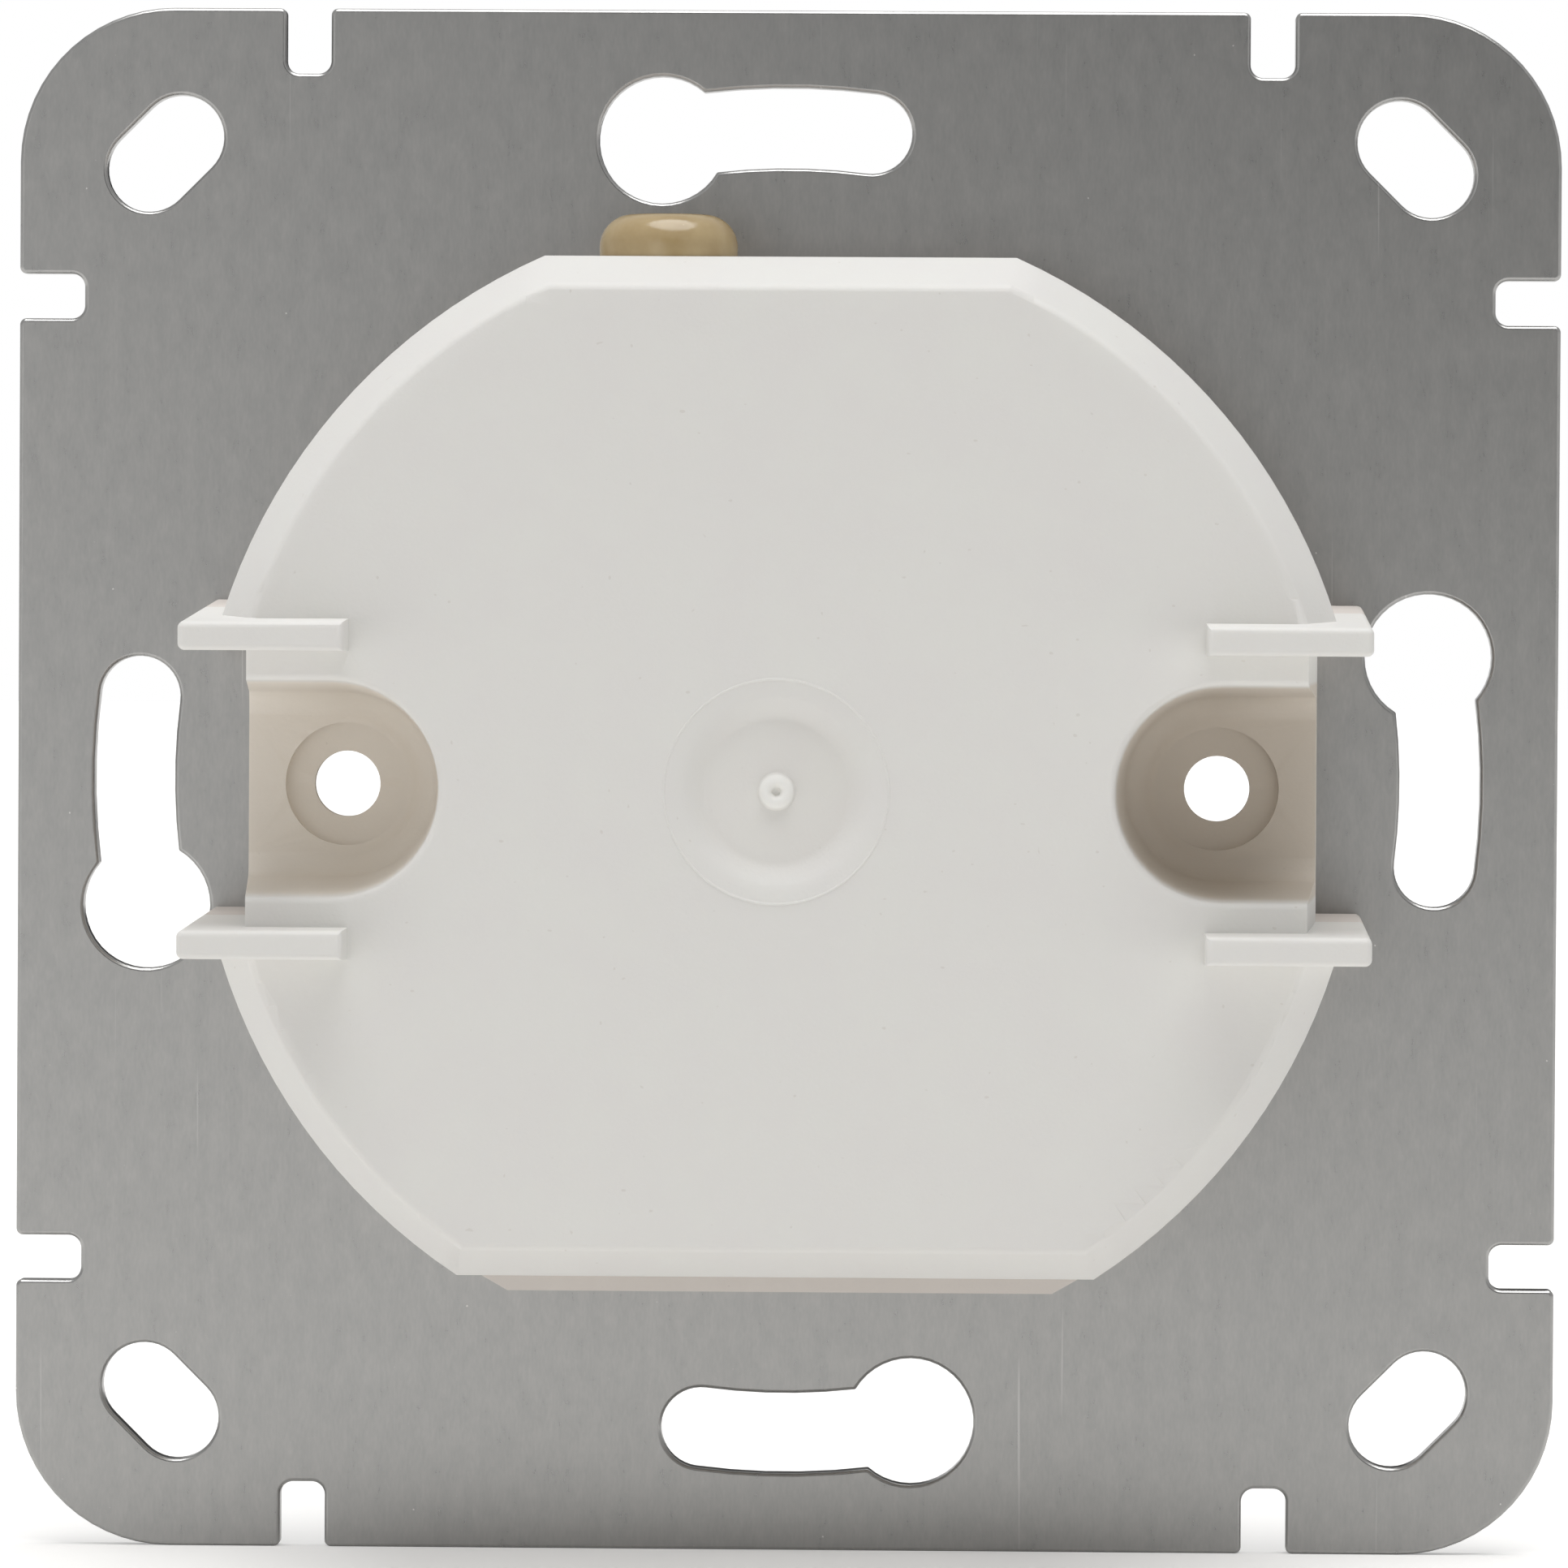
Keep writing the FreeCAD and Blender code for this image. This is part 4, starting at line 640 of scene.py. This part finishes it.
chokeWire = {
    "reach": 3.58,
    "wire": 0.4,
    "corners": 10,
    "pitch": 0.82,
    "turns": 13,
    "steps": 36,
    "sleeve": 3.5,
    "outerShare": 0.97,  # the sleeve's outside is further out than this share of its reach
    "crease": 40,
}


def makeWinding():
    values = chokeWire
    low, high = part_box("choke_winding")
    centre = (Vector(low) + Vector(high)) / 2
    piece = copyOfNode("choke_winding", "chokeWinding")
    outer = max(math.hypot(v.co.x - centre.x, v.co.y - centre.y) for v in piece.data.vertices)
    for corner in piece.data.vertices:
        if math.hypot(corner.co.x - centre.x, corner.co.y - centre.y) > outer * values["outerShare"]:
            corner.co.x = centre.x + (corner.co.x - centre.x) * values["sleeve"] * mm / outer
            corner.co.y = centre.y + (corner.co.y - centre.y) * values["sleeve"] * mm / outer
    wire = makeCoil("wire", values["reach"], values["wire"], values)
    wire.data.transform(Matrix.Translation(centre) @ Matrix.Rotation(math.pi / 2, 4, "X"))
    joinTo(piece, wire)
    smoothShade(piece, values["crease"])
    return finishPiece(piece, "choke_winding", materials["enamelled_wire"])


# The switch spring stands on the lid, and the real one is pressed together as the shaft is pushed; here it
# is dressed and given a mesh of its own.


def makeSpring():
    piece = dressNode("switch_spring", "switchSpring", materials["spring_steel"])
    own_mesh(piece)
    return piece


makers = {"rear_cover": makeCover, "threaded_bushing": makeBushing, "choke_winding": makeWinding,
          "switch_spring": makeSpring}

for node in frame["nodes"]:
    if node in makers:
        makers[node]()
    else:
        makeDressed(node)
print("pieces dressed:", len(frame["nodes"]))


# Floor, light and camera

def seenPlainly(tree, path):
    # 1 for what the camera sees straight or through glass
    return addNode(tree, "Math", {"operation": "MAXIMUM"},
                   {0: path.outputs["Is Camera Ray"], 1: path.outputs["Is Transmission Ray"]})


# The floor is a wide sheet of matt white paper, measured in metres, that takes the object's shadow.

floorValues = {"size": 6.0, "colour": "#f1f0ee", "roughness": 0.8, "ownWhite": 0.2, "glow": 0.1}

bpy.ops.object.select_all(action="DESELECT")
bpy.ops.mesh.primitive_plane_add(size=floorValues["size"], location=(0, 0, cadBox[0].z))
floor = bpy.context.object
floor.name = "floor"
floorMaterial = bpy.data.materials.new("paperFloor")
floorMaterial.use_nodes = True
floorTree = floorMaterial.node_tree
floorShader = floorTree.nodes["Principled BSDF"]
floorShader.inputs["Base Color"].default_value = colour(floorValues["colour"])
floorShader.inputs["Roughness"].default_value = floorValues["roughness"]
floorSeen = seenPlainly(floorTree, addNode(floorTree, "LightPath").node)
own = addNode(floorTree, "Math", {"operation": "MULTIPLY_ADD"},
              {0: floorSeen, 1: floorValues["ownWhite"], 2: floorValues["glow"]})
floorShader.inputs["Emission Color"].default_value = (1, 1, 1, 1)
floorTree.links.new(own, floorShader.inputs["Emission Strength"])
floor.data.materials.append(floorMaterial)

# The world is white where it is seen plainly. Matt surfaces get an even light with more of it from +X, and
# what metal and gloss mirror is plain at the sides and runs from dark to bright before and behind.

worldValues = {
    "ambient": 0.38,
    "fromLeft": 0.26,
    "around": 0.55,                # what is mirrored from the sides
    "focusEdge": 0.8,              # share of Y in a direction from which the run shows
    "focusFull": 0.95,             # and from which it shows alone
    "across": (0.88, 0.0, -0.47),  # way of the run, which begins and ends at two places along it
    "from": -0.04,
    "to": 0.16,
    "softDark": 0.0,
    "softBright": 1.15,
}

world = bpy.data.worlds.new("studio")
bpy.context.scene.world = world
world.use_nodes = True
worldTree = world.node_tree
path = addNode(worldTree, "LightPath").node
direction = addNode(worldTree, "TexCoord", output="Generated")
parts = addNode(worldTree, "SeparateXYZ", None, {0: direction}).node
ambient = addNode(worldTree, "Math", {"operation": "MULTIPLY_ADD"},
                  {0: parts.outputs["X"], 1: worldValues["fromLeft"], 2: worldValues["ambient"]})
slope = addNode(worldTree, "VectorMath", {"operation": "DOT_PRODUCT"},
                {0: direction, 1: worldValues["across"]}, "Value")
run = addNode(worldTree, "MapRange", None,
              {0: slope, 1: worldValues["from"], 2: worldValues["to"],
               3: worldValues["softDark"], 4: worldValues["softBright"]})
forward = addNode(worldTree, "Math", {"operation": "ABSOLUTE"}, {0: parts.outputs["Y"]})
focus = addNode(worldTree, "MapRange", {"interpolation_type": "SMOOTHSTEP"},
                {0: forward, 1: worldValues["focusEdge"], 2: worldValues["focusFull"]})
gloss = addNode(worldTree, "Mix", None, {0: focus, 2: worldValues["around"], 3: run})
level = addNode(worldTree, "Mix", None, {0: path.outputs["Is Glossy Ray"], 2: ambient, 3: gloss})
white = addNode(worldTree, "Mix", {"data_type": "RGBA"},
                {0: seenPlainly(worldTree, path), 6: level, 7: (1, 1, 1, 1)}, 2)
worldTree.links.new(white, worldTree.nodes["Background"].inputs["Color"])

# One broad soft lamp above the object, a little towards the camera

keyLight = {"direction": (-0.08, 0.15, 0.96), "softness": 50.0, "strength": 2.24}

lamp = bpy.data.lights.new("softKey", "SUN")
lamp.angle = math.radians(keyLight["softness"])
lamp.energy = keyLight["strength"]
lampObject = bpy.data.objects.new("softKey", lamp)
bpy.context.scene.collection.objects.link(lampObject)
lampObject.rotation_euler = Vector(keyLight["direction"]).to_track_quat("Z", "Y").to_euler()

# The camera looks at the rear side from 440 mm away, as the photograph does.

viewpoint = {"place": (-9.2, 440.0, 9.2), "aim": (0.11, 0.0, -0.11), "roll": 0.33, "lens": 219.2,
             "sensor": 36.0, "nearest": 10.0}

cameraData = bpy.data.cameras.new("camera")
cameraData.lens = viewpoint["lens"]
cameraData.sensor_width = viewpoint["sensor"]
cameraData.clip_start = viewpoint["nearest"] * mm
camera = bpy.data.objects.new("camera", cameraData)
bpy.context.scene.collection.objects.link(camera)
place = Vector(viewpoint["place"]) * mm
camera.location = place
look = (Vector(viewpoint["aim"]) * mm - place).to_track_quat("-Z", "Y")
camera.rotation_mode = "QUATERNION"
camera.rotation_quaternion = look @ Quaternion((0, 0, 1), math.radians(viewpoint["roll"]))
bpy.context.scene.camera = camera
bpy.context.scene.view_settings.view_transform = "Standard"
print("floor, light and camera placed")
